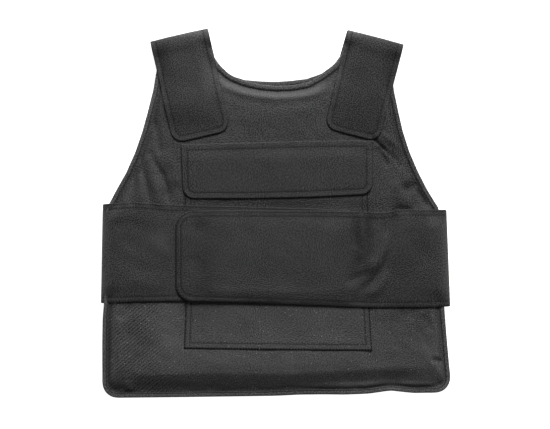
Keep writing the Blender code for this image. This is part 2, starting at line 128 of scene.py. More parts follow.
# Shades between a cloth's darkest colour, 0, and its lightest, 1
MIDDLE_SHADE = 0.44
DRIFT_SHADE = 0.12
GRIT_SHADE = 0.90
SPECKLE_SHADE = 0.16
WEAVE_LEAST = 0.08
PATCH_WEAVE = 0.25
FALLING_WEAVE = 0.42
DASH_LEAST = 0.25
DASH_WEAVE = 1.3
# Painted shade at the right shoulder, and the least share of the painted highlight on the straps'
# folds
SHOULDER_PAINTED_SHADE = 0.17
FOLD_HIGHLIGHT_LEAST = 0.35
# How far the stored painted shade and light, with the hem's painted highlight, move the shade
PAINTED_TONE_SHADE = 0.08

# Needle holes, the painted shade in a seam's groove and under an edge, loose fibres, and the sheen
HOLE_STEP = 0.16, 0.28
HOLE_DARK = 0.98
PAINTED_SHADE_COLOUR = 0.003, 0.003, 0.003
FIBRE_SPOTS = 170.0
FIBRE_STEP = 0.06, 0.105
FIBRE_CHANCE = 0.22, 0.24
FIBRE_LEAST = 0.25
FIBRE_COLOUR = 0.42, 0.42, 0.42
ROUGH_DRIFT = 0.14
SHEEN = {"Sheen Weight": 0.10, "Sheen Roughness": 0.30, "Specular IOR Level": 0.16}

# Relief of the weave
FINE_RELIEF = 0.00004
CROSS_RELIEF = 0.00002
SPECKLE_RELIEF = 0.00005
GRIT_RELIEF = 0.00007
WEAVE_RELIEF = 0.00022

# Thread and floor: clouds a metre, darkest and lightest colour, and roughness
LAY_CLOUDS = 1400.0
THREAD_DARK = 0.004, 0.004, 0.0042
THREAD_LIGHT = 0.018, 0.018, 0.0184
THREAD_ROUGH = 0.55
THREAD_ROUGH_MORE = 0.25
FLOOR_CLOUDS = 3.0
FLOOR_DARK = 0.86, 0.86, 0.86
FLOOR_LIGHT = 0.90, 0.90, 0.90
FLOOR_ROUGH = 0.9

# Cutting: steps along the outlines and cells between them, where a corner stays sharp, how finely
# arcs and curves are made, and how far apart rings and points stay
OUTLINE_STEP = 0.0026
CLOTH_CELL = 0.0050
PAD_CELL = 0.0056
UNDERSIDE_CELL = 0.0120
BACK_CELL = 0.0080
SHARP_TURN = math.radians(40)
ARC_STEP = math.radians(9)
ARC_LEAST = 2
CURVE_FINENESS = 8
ARC_CLEAR = 1.1
EASE_STEP = 0.0090
INSET_SHARE = 0.97
LATTICE_CLEAR = 0.6
CUT_CLOSE = 1e-7
LAST_RING = 0.0024
RING_LEAST = 0.0002

# A packed panel's rim: points closer than this are one, and its sides are steeper than its top
RIM_CLOSE = 1e-5
RIM_STEEP = 0.3
RIM_LEVEL = 0.6

# Edges of a sheet: how far in they are rounded for each metre of wall, the pinch of a seam and the
# painted shade in its groove, and the painted shadow line under an edge that doesn't face the neck
ROUNDING_SHARE = 0.90
EDGE_LEAST = 0.30
EDGE_RINGS = 0.0003, 0.0008, 0.0016, 0.0027
SEAM_PINCH = 0.16
SEAM_HALF_WIDTH = 0.0008
SEAM_PAINTED_SHADE = 0.0012
TAPE_SEAM_PAINTED_SHADE = 0.0008
EDGE_PAINTED_SHADOW = 0.0003, 0.0013
NECK_FACING = 0.2, 0.8
HEM_FADE = 0.0008
SEAM_RINGS = -0.0014, 0.0, 0.0014

# Height fields: their cells, the margin round a piece, how near their end a place may be, and how
# far from a sheet's edge it hangs down on what is below
FIELD_CELL = 0.0020
FIELD_MARGIN = 0.0150
FIELD_END = 1.001
RAY_HEIGHT = 0.30
CLEARANCE = 0.0004
CAST_ROUNDS = 4
SETTLE_ROUNDS = 14
HANG_NEAR = 0.0060
HANG_FAR = 0.0300

# Soft unevenness of each cloth: size, height and seed
BELT_WAVES = (0.045, 0.0009, 3.0), (0.016, 0.0003, 5.0)
STRAP_WAVES = (0.040, 0.0010, 7.0), (0.014, 0.0003, 9.0)
PAD_WAVES = (0.032, 0.0013, 11.0), (0.012, 0.0005, 13.0)
POCKET_WAVES = (0.050, 0.0008, 21.0), (0.015, 0.0003, 23.0)
FLAP_WAVES = (0.050, 0.0008, 25.0), (0.015, 0.0003, 27.0)
FRONT_TAPE_WAVES = ((0.009, 0.00022, 31.0),)
BACK_TAPE_WAVES = ((0.009, 0.00022, 35.0),)

# Padded panels: how they swell, how they meet their rim, their folds, and the painted shade beside
# their rim and the painted sheen below the neckline, by distance from the rim
SWELL = {
    "quality": 4,
    "mass": 0.25,
    "tension_stiffness": 20,
    "compression_stiffness": 20,
    "shear_stiffness": 8,
    "bending_stiffness": 0.4,
    "use_pressure": True,
    "uniform_pressure_force": 4.0,
    "vertex_group_mass": "pinned",
}
SWELL_FRAMES = 20
SWELL_MOST = 0.0008
START_SHARE = 0.90
PINNED_RIM = 0.0085
PINNED_MORE = 0.0005
TAPE_REACH = 0.0072
RIM_RINGS = 0.0036, 0.0072, 0.0110
TAPE_STEP = 0.0120
OVER_SOLID = 0.0012
FOLD_START = 0.0050
# Painted shade on a pad beside its rim, stronger low on the left side
TURN_IN = 0.0110
RIM_PAINTED_SHADE = 0.12
RIM_SIDE_PAINTED_SHADE = 0.66
TURN_SIDE_X = 0.20, 0.25
TURN_SIDE_Y = 0.12, 0.16
RIM_PAINTED_SHADE_MOST = 0.5
# Painted sheen below the neckline: where, how wide, how bright, and over which x and y
NECK_SHEEN_AT = 0.0135
NECK_SHEEN_HALF_WIDTH = 0.0050
NECK_PAINTED_SHEEN = 7.0
NECK_SHEEN_MIDDLE = -0.008
NECK_SHEEN_X = -0.094, -0.072
NECK_SHEEN_Y = 0.165, 0.185
FRONT_SINKS = 0.0010
BACK_SINKS = 0.0
FLOOR_GAP = 0.0002
ROOT_GAP = 0.0007

# Binding tape folded over a panel's rim
TAPE_WALL = 0.0010
TAPE_WIDTH = 0.0085
TAPE_OUT = 0.0014
RIM_THICKNESS = 0.0020
TAPE_SEAM = 0.0011
TAPE_SHARES = 1.0, 0.95, 0.87, 0.80, 0.72, 0.55, 0.3, 0.1
TAPE_TURN = range(-75, 76, 30)
TAPE_CLOSE = 0.00002

# Thread: each stitch's length, sides and cuts across, its width and height at the ends and what
# its middle has more, and how many radii its ends sink
STITCH_PITCH = 0.0046
STITCH_LENGTH = 0.0036
STITCH_SIDES = 6
STITCH_CUTS = -0.25, 0.25
STITCH_WIDTH = 0.55, 0.45
STITCH_HEIGHT = 0.45, 0.55
STITCH_SINK = 1.6
THREAD_RADIUS = 0.00030
THREAD_LIFT = 0.00008
UPRIGHT_STEP = 0.0008

# Belts
BELT_WALL = 0.0022
BELT_ROOT_X = 0.168
BELT_TURN_LOW = 0.0170
BELT_TURN_HIGH = 0.0300
BELT_MIDDLE_Y = -0.0650
BELT_SEAMS = 0.0022, 0.0086
TURN_FULLNESS = 0.85
TURN_DEGREES = range(-90, 91, 6)
TURN_RISE = 0.0340
LEFT_BELT_EDGES = metres((  # x, top y, bottom y
    (-2800, 141, -1443),
    (-2230, 173, -1416),
    (-1700, 131, -1406),
    (-970, 109, -1400),
    (630, 67, -1400),
    (1175, 35, -1420),
))
RIGHT_BELT_EDGES = metres((  # x, top y, bottom y
    (-1590, 30, -1398),
    (-1000, 38, -1416),
    (710, 34, -1465),
    (1366, 19, -1498),
    (1600, 6, -1506),
    (1760, 8, -1506),
    (1920, 47, -1506),
    (2100, 52, -1506),
    (2800, 51, -1494),
))
BELT_END_RADIUS = 0.0280

# Shoulder straps: the middle of the fold, the way the strap runs from it, and its size
STRAP_WALL = 0.0024
STRAP_HALF_WIDTH = 0.0470
STRAP_TURN = 0.0200
STRAP_FULLNESS = 0.55
STRAP_LEVEL = 0.0130
STRAP_ROOT = 0.0750
STRAP_END_RADIUS = 0.0190
STRAP_SEAM = 0.0084

# Plate pocket and its flap
POCKET_WALL = 0.0014
POCKET_SEAMS = 0.0016, 0.0090
POCKET_EDGES = metres((  # y, left x, right x
    (-2150, -1456, 1533),
    (-1500, -1430, 1492),
    (50, -1442, 1470),
    (900, -1445, 1467),
))
POCKET_CORNER_DROP = 0.0034
POCKET_HANGS = 1.0
FLAP_WALL = 0.0020
FLAP_SEAM = 0.0094
FLAP_CORNER = 0.0190
FLAP_HANGS = 0.8
FLAP_EDGES = metres((  # x, top y, bottom y
    (-1505, 1090, 230),
    (-410, 1118, 230),
    (520, 1145, 250),
    (1130, 1153, 280),
    (1540, 1150, 300),
))
FLAP_NARROWS = 0.0036

# Folds (up) and creases (down): the x and y of the places they run through, then their height and
# half width. A strap's are across and along it, from its shoulder fold. All fade out at their ends,
# later with a higher power.
FOLD_FADE = 4
RIGHT_BELT_FOLDS = metres((
    ((1902, 16, 1878, -144, 1846, -400, 1798, -624, 1718, -848, 1574, -1040, 1430, -1184,
        1286, -1296), -48, 48),
    ((1862, -288, 1766, -544, 1654, -752, 1478, -912), 44, 70),
    ((1810, -960, 1650, -1200, 1450, -1320), 30, 52),
    ((1902, 40, 1880, -160), -34, 32),
    ((1718, 40, 1718, -360), -30, 32),
    ((1254, 40, 1254, -200, 1262, -560), -46, 52),
    ((1462, 40, 1470, -350, 1462, -760), -60, 56),
    ((1362, 40, 1362, -560), 32, 44),
    ((1446, -720, 1286, -848), -28, 60),
    ((1478, -944, 1110, -1104), -26, 50),
    ((2100, -250, 2300, -600, 2400, -880), -18, 110),
    ((-1130, -1240, 0, -1260, 1120, -1270), 16, 56),
    ((-1430, -120, -1080, -300), -18, 90),
    ((-1400, -700, -1120, -960), -18, 100),
    ((500, -40, 1000, -110), -14, 70),
    ((950, -200, 600, -1200), 12, 160),
    ((-500, -300, -850, -1100), 12, 180),
))
LEFT_BELT_FOLDS = metres((
    ((-2620, -200, -2300, -140, -2080, -260), -18, 80),
    ((-2500, -760, -2100, -880, -1690, -920), -20, 58),
    ((-2020, -420, -1660, -720), 16, 110),
    ((-2440, -400, -2160, -560), -14, 80),
    ((-2400, -1050, -1800, -1200), 14, 90),
    ((-2700, -500, -2680, -1200), -16, 50),
))
PANEL_FOLDS = metres((
    ((1480, 1270, 1600, 1140, 1780, 960, 1840, 890), -40, 25),
    ((1680, 1280, 1840, 1140, 2040, 980), 20, 42),
    ((1620, 1050, 1700, 900, 1790, 720), -36, 40),
    ((1810, 950, 1920, 830, 2020, 700), -22, 44),
    ((1720, 1020, 1860, 840, 1960, 640), 14, 40),
    ((2400, 540, 2220, 440, 2020, 340), -50, 86),
    ((1850, 520, 2000, 280, 2120, 80), 18, 90),
    ((1880, 70, 2220, 30), -32, 64),
    ((2270, 400, 2340, 240, 2420, 60), -62, 40),
    ((-2190, 1180, -2150, 860, -2090, 600, -2040, 320, -2020, 120), -40, 58),
    ((-1990, 1000, -1910, 770, -1800, 600, -1740, 410, -1690, 180, -1680, 100), -36, 54),
    ((-1930, 600, -1880, 360, -1850, 100), 28, 80),
    ((-1800, 1000, -1640, 760, -1560, 400), 14, 80),
    ((-1980, 1600, -1880, 1240, -1860, 920), -36, 62),
    ((-2200, 800, -2290, 300, -2330, 100), -48, 70),
    ((-2160, 620, -2120, 160), 18, 54),
    ((-2380, -1560, -2020, -1960, -1600, -2260), 18, 160),
    ((-2260, -1460, -2500, -1700), -20, 80),
    ((-2480, -1500, -2500, -2100, -2460, -2560), 30, 100),
    ((400, -2790, 1200, -2780, 1900, -2750, 2600, -2730), 34, 62),
    ((-2360, -2660, -2320, -2860), 30, 70),
    ((2480, -2330, 2620, -2370, 2780, -2390), -46, 44),
    ((2640, -2460, 2710, -2560, 2700, -2740), 34, 76),
    ((2480, -1600, 2580, -1900, 2640, -2200), 20, 46),
    ((2360, -1600, 2480, -1900), -14, 70),
    ((-860, 2060, -570, 1920, 0, 1864, 600, 1884, 920, 1990), 26, 64),
))
HEM_FOLDS = metres((
    ((-2760, -2660, -2200, -2560, -800, -2530, 400, -2530, 1100, -2540), 80, 135),
    ((300, -2500, 1200, -2480, 2000, -2440, 2640, -2420), 44, 110),
))
# To the left of their paths, which is up the panel, the hem's folds are this many times wider
HEM_SPREAD = 3.2
LEFT_STRAP_FOLDS = metres((
    ((-900, -130, 900, -130), 46, 100),
    ((-700, -1040, 700, -1080), 24, 220),
))
RIGHT_STRAP_FOLDS = metres((
    ((-900, -130, 900, -130), 40, 100),
    ((-700, -920, 700, -1060), 13, 220),
))
# Painted shade and painted light in soft darker and lighter places: x, y, reach in x, reach in y,
# tone. The tones are stored with a base added, because a stored value can't be negative.
PAINTED_SHADE_AND_LIGHT = (
    (0.0000, 0.0165, 0.1500, 0.0080, -3.6),
    (0.1290, -0.0360, 0.0080, 0.0400, -2.2),
    (0.1480, -0.0320, 0.0056, 0.0400, -2.6),
    (0.1380, -0.0900, 0.0160, 0.0240, -1.6),
    (0.1900, 0.0030, 0.0070, 0.0140, -3.0),
    (0.1900, -0.0700, 0.1300, 0.0900, -1.2),
    (0.2130, 0.0460, 0.0140, 0.0085, -3.0),
    (0.2200, -0.1700, 0.0600, 0.0700, -1.6),
    (-0.2200, -0.1900, 0.0400, 0.0800, -1.0),
    (-0.1760, -0.1820, 0.0240, 0.0420, 1.6),
    (0.1300, -0.2715, 0.1300, 0.0048, 2.4),
    (-0.1150, -0.0900, 0.0200, 0.0600, -1.4),
    (-0.2300, -0.0180, 0.0300, 0.0110, -1.6),
    (-0.1180, -0.0160, 0.0140, 0.0130, -2.0),
    (-0.1840, -0.0480, 0.0160, 0.0260, 1.4),
    (-0.1320, 0.1500, 0.0400, 0.0140, -2.2),
    (0.1270, 0.1460, 0.0400, 0.0200, -1.4),
    (-0.1150, 0.2540, 0.0220, 0.0100, -1.6),
    (-0.1080, 0.2020, 0.0100, 0.0300, 1.6),
    (0.1270, 0.2000, 0.0400, 0.0600, -1.1),
    (0.0000, 0.1400, 0.1000, 0.0420, -0.8),
    (0.0000, 0.0650, 0.1300, 0.0280, -0.7),
    (0.2180, 0.0300, 0.0140, 0.0120, -2.0),
    (0.1600, -0.2785, 0.1200, 0.0022, 3.0),
)
PAINTED_TONE_BASE = 8.0
LEFT_BELT = {
    "side": -1, "fold": 0.2776, "slant": 0.0190, "hangs": 1.0,
    "edges": LEFT_BELT_EDGES, "folds": LEFT_BELT_FOLDS,
}
RIGHT_BELT = {
    "side": 1, "fold": 0.2757, "slant": 0.0400, "hangs": 0.85,
    "edges": RIGHT_BELT_EDGES, "folds": RIGHT_BELT_FOLDS,
}
LEFT_STRAP = {
    "fold": (-0.1545, 0.2838), "slant": 13.0, "length": 0.1672, "narrows": 0.0,
    "folds": LEFT_STRAP_FOLDS,
}
RIGHT_STRAP = {
    "fold": (0.1590, 0.2806), "slant": -14.6, "length": 0.1612, "narrows": 0.0045,
    "folds": RIGHT_STRAP_FOLDS,
}


# Lines and tables


def smooth(value, low, high):
    """0 up to low, 1 from high on, and an S-shaped step between them."""
    t = np.clip((value - low) / (high - low), 0.0, 1.0)
    return t * t * (3 - 2 * t)


def table(rows, at, column):
    """A column of a table, read between its rows."""
    if at <= rows[0][0]:
        return rows[0][column]
    for low, high in zip(rows, rows[1:]):
        if at <= high[0]:
            share = (at - low[0]) / (high[0] - low[0])
            return low[column] + share * (high[column] - low[column])
    return rows[-1][column]


def ridges(rows, x, y, spread=1.0):
    """The summed height of folds and creases at many places. To the left of its path each is wider
    by a factor, and it fades out at both ends."""
    height = np.zeros(x.shape)
    for path, top, half_width in rows:
        best = np.full(x.shape, np.inf)
        share = np.zeros(x.shape)
        wide = np.full(x.shape, half_width)
        passed = 0.0
        points = list(zip(path[::2], path[1::2]))
        for (x0, y0), (x1, y1) in zip(points, points[1:]):
            length = math.hypot(x1 - x0, y1 - y0)
            along = ((x - x0) * (x1 - x0) + (y - y0) * (y1 - y0)) / length**2
            along = np.clip(along, 0.0, 1.0)
            away = np.hypot(x - x0 - along * (x1 - x0), y - y0 - along * (y1 - y0))
            share = np.where(away < best, passed + along * length, share)
            left = (x1 - x0) * (y - y0) > (y1 - y0) * (x - x0)
            wide = np.where(away < best, half_width * np.where(left, spread, 1.0), wide)
            best = np.minimum(best, away)
            passed += length
        fade = 1 - abs(2 * share / passed - 1) ** FOLD_FADE
        height += top * fade * np.exp(-((best / wide) ** 2))
    return height


def smooth_line(points):
    """Points along a smooth curve through the given ones."""
    ends = [2 * points[0] - points[1], *points, 2 * points[-1] - points[-2]]
    fine = []
    for a, b, c, d in zip(ends, ends[1:], ends[2:], ends[3:]):
        for k in range(CURVE_FINENESS):
            t = k / CURVE_FINENESS
            bend = (2 * a - 5 * b + 4 * c - d) * t * t + (3 * b - a - 3 * c + d) * t**3
            fine.append(b + 0.5 * ((c - a) * t + bend))
    fine.append(points[-1])
    return fine


def eased(line):
    """A line with its corners eased over a short step, whatever the lengths between them."""
    length = sum((b - a).length for a, b in zip(line, line[1:]))
    return smooth_line([*even_run(line, max(round(length / EASE_STEP), 2)), line[-1]])


def edge_curve(rows, column, across=False):
    """A column of a table as a smooth curve."""
    points = [Vector((row[0], row[column])) for row in rows]
    if across:
        points = [point.yx for point in points]
    return eased(points)


def turn_at(before, here, after):
    """How sharply a line turns at a point, in radians."""
    first, second = here - before, after - here
    if not first.length or not second.length:
        return 0.0
    return first.angle(second)


def rounded(corners):
    """A closed line through corners given as (point, radius), with arcs at the round ones."""
    arcs = [corner for corner in corners if corner[1]]
    corners = [
        (here, radius)
        for here, radius in corners
        if radius or all((here - there).length > ARC_CLEAR * reach for there, reach in arcs)
    ]
    line = []
    for k, (here, radius) in enumerate(corners):
        if not radius:
            line.append(here)
            continue
        back = (corners[k - 1][0] - here).normalized()
        on = (corners[(k + 1) % len(corners)][0] - here).normalized()
        half = back.angle(on) / 2
        centre = here + (back + on).normalized() * (radius / math.sin(half))
        foot = here + back * (radius / math.tan(half))
        sweep = math.pi - 2 * half
        sign = 1 if back.cross(on) < 0 else -1
        steps = max(round(sweep / ARC_STEP), ARC_LEAST)
        spoke = foot - centre
        for step in range(steps + 1):
            angle = sign * sweep * step / steps
            turned = Vector(
                (
                    spoke.x * math.cos(angle) - spoke.y * math.sin(angle),
                    spoke.x * math.sin(angle) + spoke.y * math.cos(angle),
                )
            )
            line.append(centre + turned)
    return line


def runs_between_corners(loop):
    """A closed line as open runs from each sharp corner to the next, both corners in each."""
    count = len(loop)
    sharp = [
        k
        for k in range(count)
        if turn_at(loop[k - 1], loop[k], loop[(k + 1) % count]) > SHARP_TURN
    ] or [0]
    return [
        [loop[k % count] for k in range(first, last + 1)]
        for first, last in zip(sharp, sharp[1:] + [sharp[0] + count])
    ]


def even_run(run, steps):
    """Points along a run at equal steps, without its last one."""
    lengths = [(b - a).length for a, b in zip(run, run[1:])]
    step = sum(lengths) / steps
    result, passed = [], 0.0
    for a, b, length in zip(run, run[1:], lengths):
        while len(result) < steps and length and passed + length >= step * len(result):
            result.append(a.lerp(b, min(max((step * len(result) - passed) / length, 0), 1)))
        passed += length
    return result


def even_loop(line):
    """A closed line with points about a step apart, keeping its sharp corners."""
    result = []
    for run in runs_between_corners(line):
        length = sum((b - a).length for a, b in zip(run, run[1:]))
        result += even_run(run, max(round(length / OUTLINE_STEP), 1))
    return result


def inward(loop, k):
    """The way in from a point of an anticlockwise loop, longer at a sharp corner."""
    first = (loop[k] - loop[k - 1]).normalized()
    second = (loop[(k + 1) % len(loop)] - loop[k]).normalized()
    ways = Vector((-first.y, first.x)), Vector((-second.y, second.x))
    return (ways[0] + ways[1]) / (1 + ways[0].dot(ways[1]))


def nearest_sides(points, loop):
    """For each point how far it is from a closed line, whether it is inside, the number of the side
    of the line that is nearest, and the share of that side before the nearest place."""
    points = np.array([tuple(point) for point in points])
    ends = np.array([tuple(end)[:2] for end in loop])
    best = np.full(len(points), np.inf)
    inside = np.zeros(len(points), bool)
    side = np.zeros(len(points), int)
    part = np.zeros(len(points))
    for k, (a, b) in enumerate(zip(ends, np.roll(ends, -1, axis=0))):
        along = b - a
        share = np.clip(((points - a) * along).sum(axis=1) / (along * along).sum(), 0, 1)
        away = np.hypot(*(points - a - share[:, None] * along).T)
        side = np.where(away < best, k, side)
        part = np.where(away < best, share, part)
        best = np.minimum(best, away)
        if a[1] != b[1]:
            crosses = (a[1] > points[:, 1]) != (b[1] > points[:, 1])
            at = a[0] + (points[:, 1] - a[1]) / (b[1] - a[1]) * (b[0] - a[0])
            inside ^= crosses & (points[:, 0] < at)
    return best, inside, side, part


def sides_of(loop):
    """The sides of a closed line, each as the way from its start to its end."""
    ends = np.array([tuple(end) for end in loop])
    return np.roll(ends, -1, axis=0) - ends


def facing(side, loop):
    """How far the sides of an anticlockwise loop face the neck, by an array of their numbers."""
    return np.array([-along[0] / math.hypot(*along) for along in sides_of(loop)])[side]


def inset_loop(loop, inset):
    """An anticlockwise loop moved in by a distance. Points that a corner crowds out are dropped."""
    moved = [point + inset * inward(loop, k) for k, point in enumerate(loop)]
    away, inside = nearest_sides(moved, loop)[:2]
    return [p for p, d, keep in zip(moved, away, inside) if keep and d >= inset * INSET_SHARE]


# Cloth


def cut_cloth(loop, rings, cell):
    """A flat mesh inside a loop, with rings along its edge: its points and its triangles."""
    points, edges = [], []
    for line in [loop] + [inset_loop(loop, inset) for inset in rings]:
        first = len(points)
        points += line
        edges += [(first + k, first + (k + 1) % len(line)) for k in range(len(line))]
    low = Vector((min(p.x for p in loop), min(p.y for p in loop)))
    high = Vector((max(p.x for p in loop), max(p.y for p in loop)))
    rise = cell * math.sqrt(3) / 2
    lattice = []
    for row in range(int((high.y - low.y) / rise) + 1):
        shift = cell / 2 * (row % 2)
        for column in range(int((high.x - low.x) / cell) + 1):
            lattice.append(Vector((low.x + shift + column * cell, low.y + row * rise)))
    away, inside = nearest_sides(lattice, loop)[:2]
    least = max(rings) + cell * LATTICE_CLEAR
    points += [p for p, d, keep in zip(lattice, away, inside) if keep and d > least]
    made = delaunay_2d_cdt(points, edges, [], 1, CUT_CLOSE)
    return made[0], made[2]


def cloth_mesh(name, flat, faces, places):
    """A mesh of placed points whose UV map is the flat cut."""
    mesh = bpy.data.meshes.new(name)
    mesh.from_pydata([tuple(place) for place in places], [], faces)
    layer = mesh.uv_layers.new(name="cut")
    for loop in mesh.loops:
        layer.data[loop.index].uv = flat[loop.vertex_index]
    obj = bpy.data.objects.new(name, mesh)
    bpy.context.scene.collection.objects.link(obj)
    return obj


def only(obj):
    """Makes one object the selected and the active one."""
    bpy.ops.object.select_all(action="DESELECT")
    obj.select_set(True)
    bpy.context.view_layer.objects.active = obj


def apply_modifiers(obj):
    """Makes all of an object's modifiers part of its mesh."""
    only(obj)
    for modifier in list(obj.modifiers):
        bpy.ops.object.modifier_apply(modifier=modifier.name)


def edge_share(away, wall):
    """The share of its full wall that a sheet has at a distance from its rounded edge."""
    inner = 1 - min(away / (wall * ROUNDING_SHARE), 1.0)
    return EDGE_LEAST + (1 - EDGE_LEAST) * math.sqrt(1 - inner * inner)


def wall_share(away, seams, wall):
    """The share of its full wall that a sheet has at its edge and where seams pull it in."""
    share = edge_share(away, wall)
    for seam in seams:
        share *= 1 - SEAM_PINCH * math.exp(-(((away - seam) / SEAM_HALF_WIDTH) ** 2))
    return share


def stitch_numbers(points, line):
    """How many stitches along a closed stitch line each point is, by its nearest place on it, and
    how far it is from the line."""
    best, _, side, part = nearest_sides(points, line)
    steps = np.array([math.hypot(*along) for along in sides_of(line)])
    passed = np.cumsum(steps)
    starts = np.array([0.0, *passed[:-1]])
    stitches = max(int(passed[-1] / STITCH_PITCH), 1)
    return (starts[side] + part * steps[side]) / passed[-1] * stitches, best


def painted_tone_at(place):
    """The painted light (above 0) and painted shade (below 0) of the cloth at a place."""
    return sum(
        painted_amount * math.exp(-(((place.x - x) / across) ** 2) - ((place.y - y) / along) ** 2)
        for x, y, across, along, painted_amount in PAINTED_SHADE_AND_LIGHT
    )


def mark_sewing(sheet, away, seams, numbers, ways, shade):
    """Stores the painted shade along a sheet's seams and the painted shadow under its edge, then
    the painted highlight where it is turned in with its painted shade and light added, then how
    many stitches along its seam each place is."""
    marks = sheet.data.attributes.new("sewing", "FLOAT_COLOR", "POINT")
    for index, (distance, number, way) in enumerate(zip(away, numbers, ways)):
        # Painted shade in the seams' grooves
        seam = sum(math.exp(-(((distance - at) / shade) ** 2)) for at in seams)
        # Painted shadow: a dark line under each edge that doesn't face the neck, which is where the
        # light comes from
        seam += (1 - smooth(distance, *EDGE_PAINTED_SHADOW)) * (1 - smooth(way, *NECK_FACING))
        # Painted highlight on the hem strip, with the painted shade and light of its places added
        painted_light_and_shade = 1 - smooth(distance, max(seams) - HEM_FADE, max(seams) + HEM_FADE)
        painted_light_and_shade += PAINTED_TONE_BASE + painted_tone_at(sheet.data.vertices[index].co)
        marks.data[index].color = (min(seam, 1.0), painted_light_and_shade, number, 1.0)


def add_wall(sheet, wall):
    """Gives a sheet its wall, half to each side, by the shares in its wall group."""
    solid = sheet.modifiers.new("Wall", "SOLIDIFY")
    solid.thickness = wall
    solid.offset = 0.0
    solid.vertex_group = "wall"
    solid.thickness_vertex_group = 0.0
    apply_modifiers(sheet)


def sewn_sheet(name, loop, seams, wall, place, finish):
    """A sheet cut to a loop, put in place, and given its wall with rounded edges and pinched seams.
    Its flat area, its cut and its stitch lines come with it."""
    rings = sorted({*EDGE_RINGS, *(seam + ring for seam in seams for ring in SEAM_RINGS)})
    rings = [ring for k, ring in enumerate(rings) if not k or ring - rings[k - 1] > RING_LEAST]
    rings.append(max(rings) + LAST_RING)
    flat, faces = cut_cloth(loop, rings, CLOTH_CELL)
    sheet = cloth_mesh(name, flat, faces, [place(point) for point in flat])
    away, _, side, _ = nearest_sides(flat, loop)
    ways = [normal.vector.copy() for normal in sheet.data.vertex_normals]
    group = sheet.vertex_groups.new(name="wall")
    for index, (vert, way, distance) in enumerate(zip(sheet.data.vertices, ways, away)):
        vert.co -= way * (wall / 2 * (1 - edge_share(distance, wall)))
        group.add([index], wall_share(distance, seams, wall), "REPLACE")
    counts = [stitch_numbers(flat, inset_loop(loop, seam)) for seam in seams]
    nearest = np.argmin([count[1] for count in counts], axis=0)
    numbers = np.choose(nearest, [count[0] for count in counts])
    mark_sewing(sheet, away, seams, numbers, facing(side, loop), SEAM_PAINTED_SHADE)
    add_wall(sheet, wall)
    sheet.data.shade_smooth()
    sheet.data.materials.append(finish)
    area = sum(abs((flat[b] - flat[a]).cross(flat[c] - flat[a])) / 2 for a, b, c in faces)
    return sheet, area, loop, seam_lines(loop, seams, place, wall)


# Heights


class Field:
    """Heights on an even grid."""

    def __init__(self, low, high):
        self.low = Vector(low) - Vector((FIELD_MARGIN, FIELD_MARGIN))
        size = Vector(high) + Vector((FIELD_MARGIN, FIELD_MARGIN)) - self.low
        self.columns = int(size.x / FIELD_CELL) + 2
        self.rows = int(size.y / FIELD_CELL) + 2
        self.values = np.full((self.rows, self.columns), np.nan)

    def cast(self, tree, up=False):
        """Heights where rays meet a tree, from above or from below; NaN beside it."""
        start, way = (-RAY_HEIGHT, 1) if up else (RAY_HEIGHT, -1)
        values = np.full((self.rows, self.columns), np.nan)
        for row in range(self.rows):
            y = self.low.y + row * FIELD_CELL
            for column in range(self.columns):
                origin = Vector((self.low.x + column * FIELD_CELL, y, start))
                hit = tree.ray_cast(origin, Vector((0, 0, way)))[0]
                if hit:
                    values[row, column] = hit.z
        return values

    def places(self):
        """The x and the y of each point of the grid."""
        x = self.low.x + FIELD_CELL * np.arange(self.columns)
        y = self.low.y + FIELD_CELL * np.arange(self.rows)
        return np.meshgrid(x, y)

    def at(self, x, y):
        """The height at a place, between the grid's points."""
        u = min(max((x - self.low.x) / FIELD_CELL, 0.0), self.columns - FIELD_END)
        v = min(max((y - self.low.y) / FIELD_CELL, 0.0), self.rows - FIELD_END)
        i, j = int(u), int(v)
        s, t = u - i, v - j
        low = self.values[j, i] * (1 - s) + self.values[j, i + 1] * s
        high = self.values[j + 1, i] * (1 - s) + self.values[j + 1, i + 1] * s
        return low * (1 - t) + high * t


def blur(values, rounds=1):
    """Each height averaged with its neighbours."""
    for _ in range(rounds):
        wide = np.pad(values, 1, mode="edge")
        values = (wide[:-2, 1:-1] + 2 * wide[1:-1, 1:-1] + wide[2:, 1:-1]) / 4
        wide = np.pad(values, 1, mode="edge")
        values = (wide[1:-1, :-2] + 2 * wide[1:-1, 1:-1] + wide[1:-1, 2:]) / 4
    return values


def filled(values):
    """The heights with each gap filled from its nearest neighbours."""
    values = values.copy()
    while np.isnan(values).any():
        wide = np.pad(values, 1, constant_values=np.nan)
        around = np.stack([wide[:-2, 1:-1], wide[2:, 1:-1], wide[1:-1, :-2], wide[1:-1, 2:]])
        known = ~np.isnan(around)
        total = np.where(known, around, 0).sum(axis=0)
        count = known.sum(axis=0)
        new = np.isnan(values) & (count > 0)
        values[new] = total[new] / count[new]
    return values


def tree_of(*objects):
    """A search tree over the faces of some finished meshes."""
    points, faces = [], []
    for obj in objects:
        first = len(points)
        points += [vert.co.copy() for vert in obj.data.vertices]
        faces += [[first + v for v in face.vertices] for face in obj.data.polygons]
    return BVHTree.FromPolygons(points, faces)


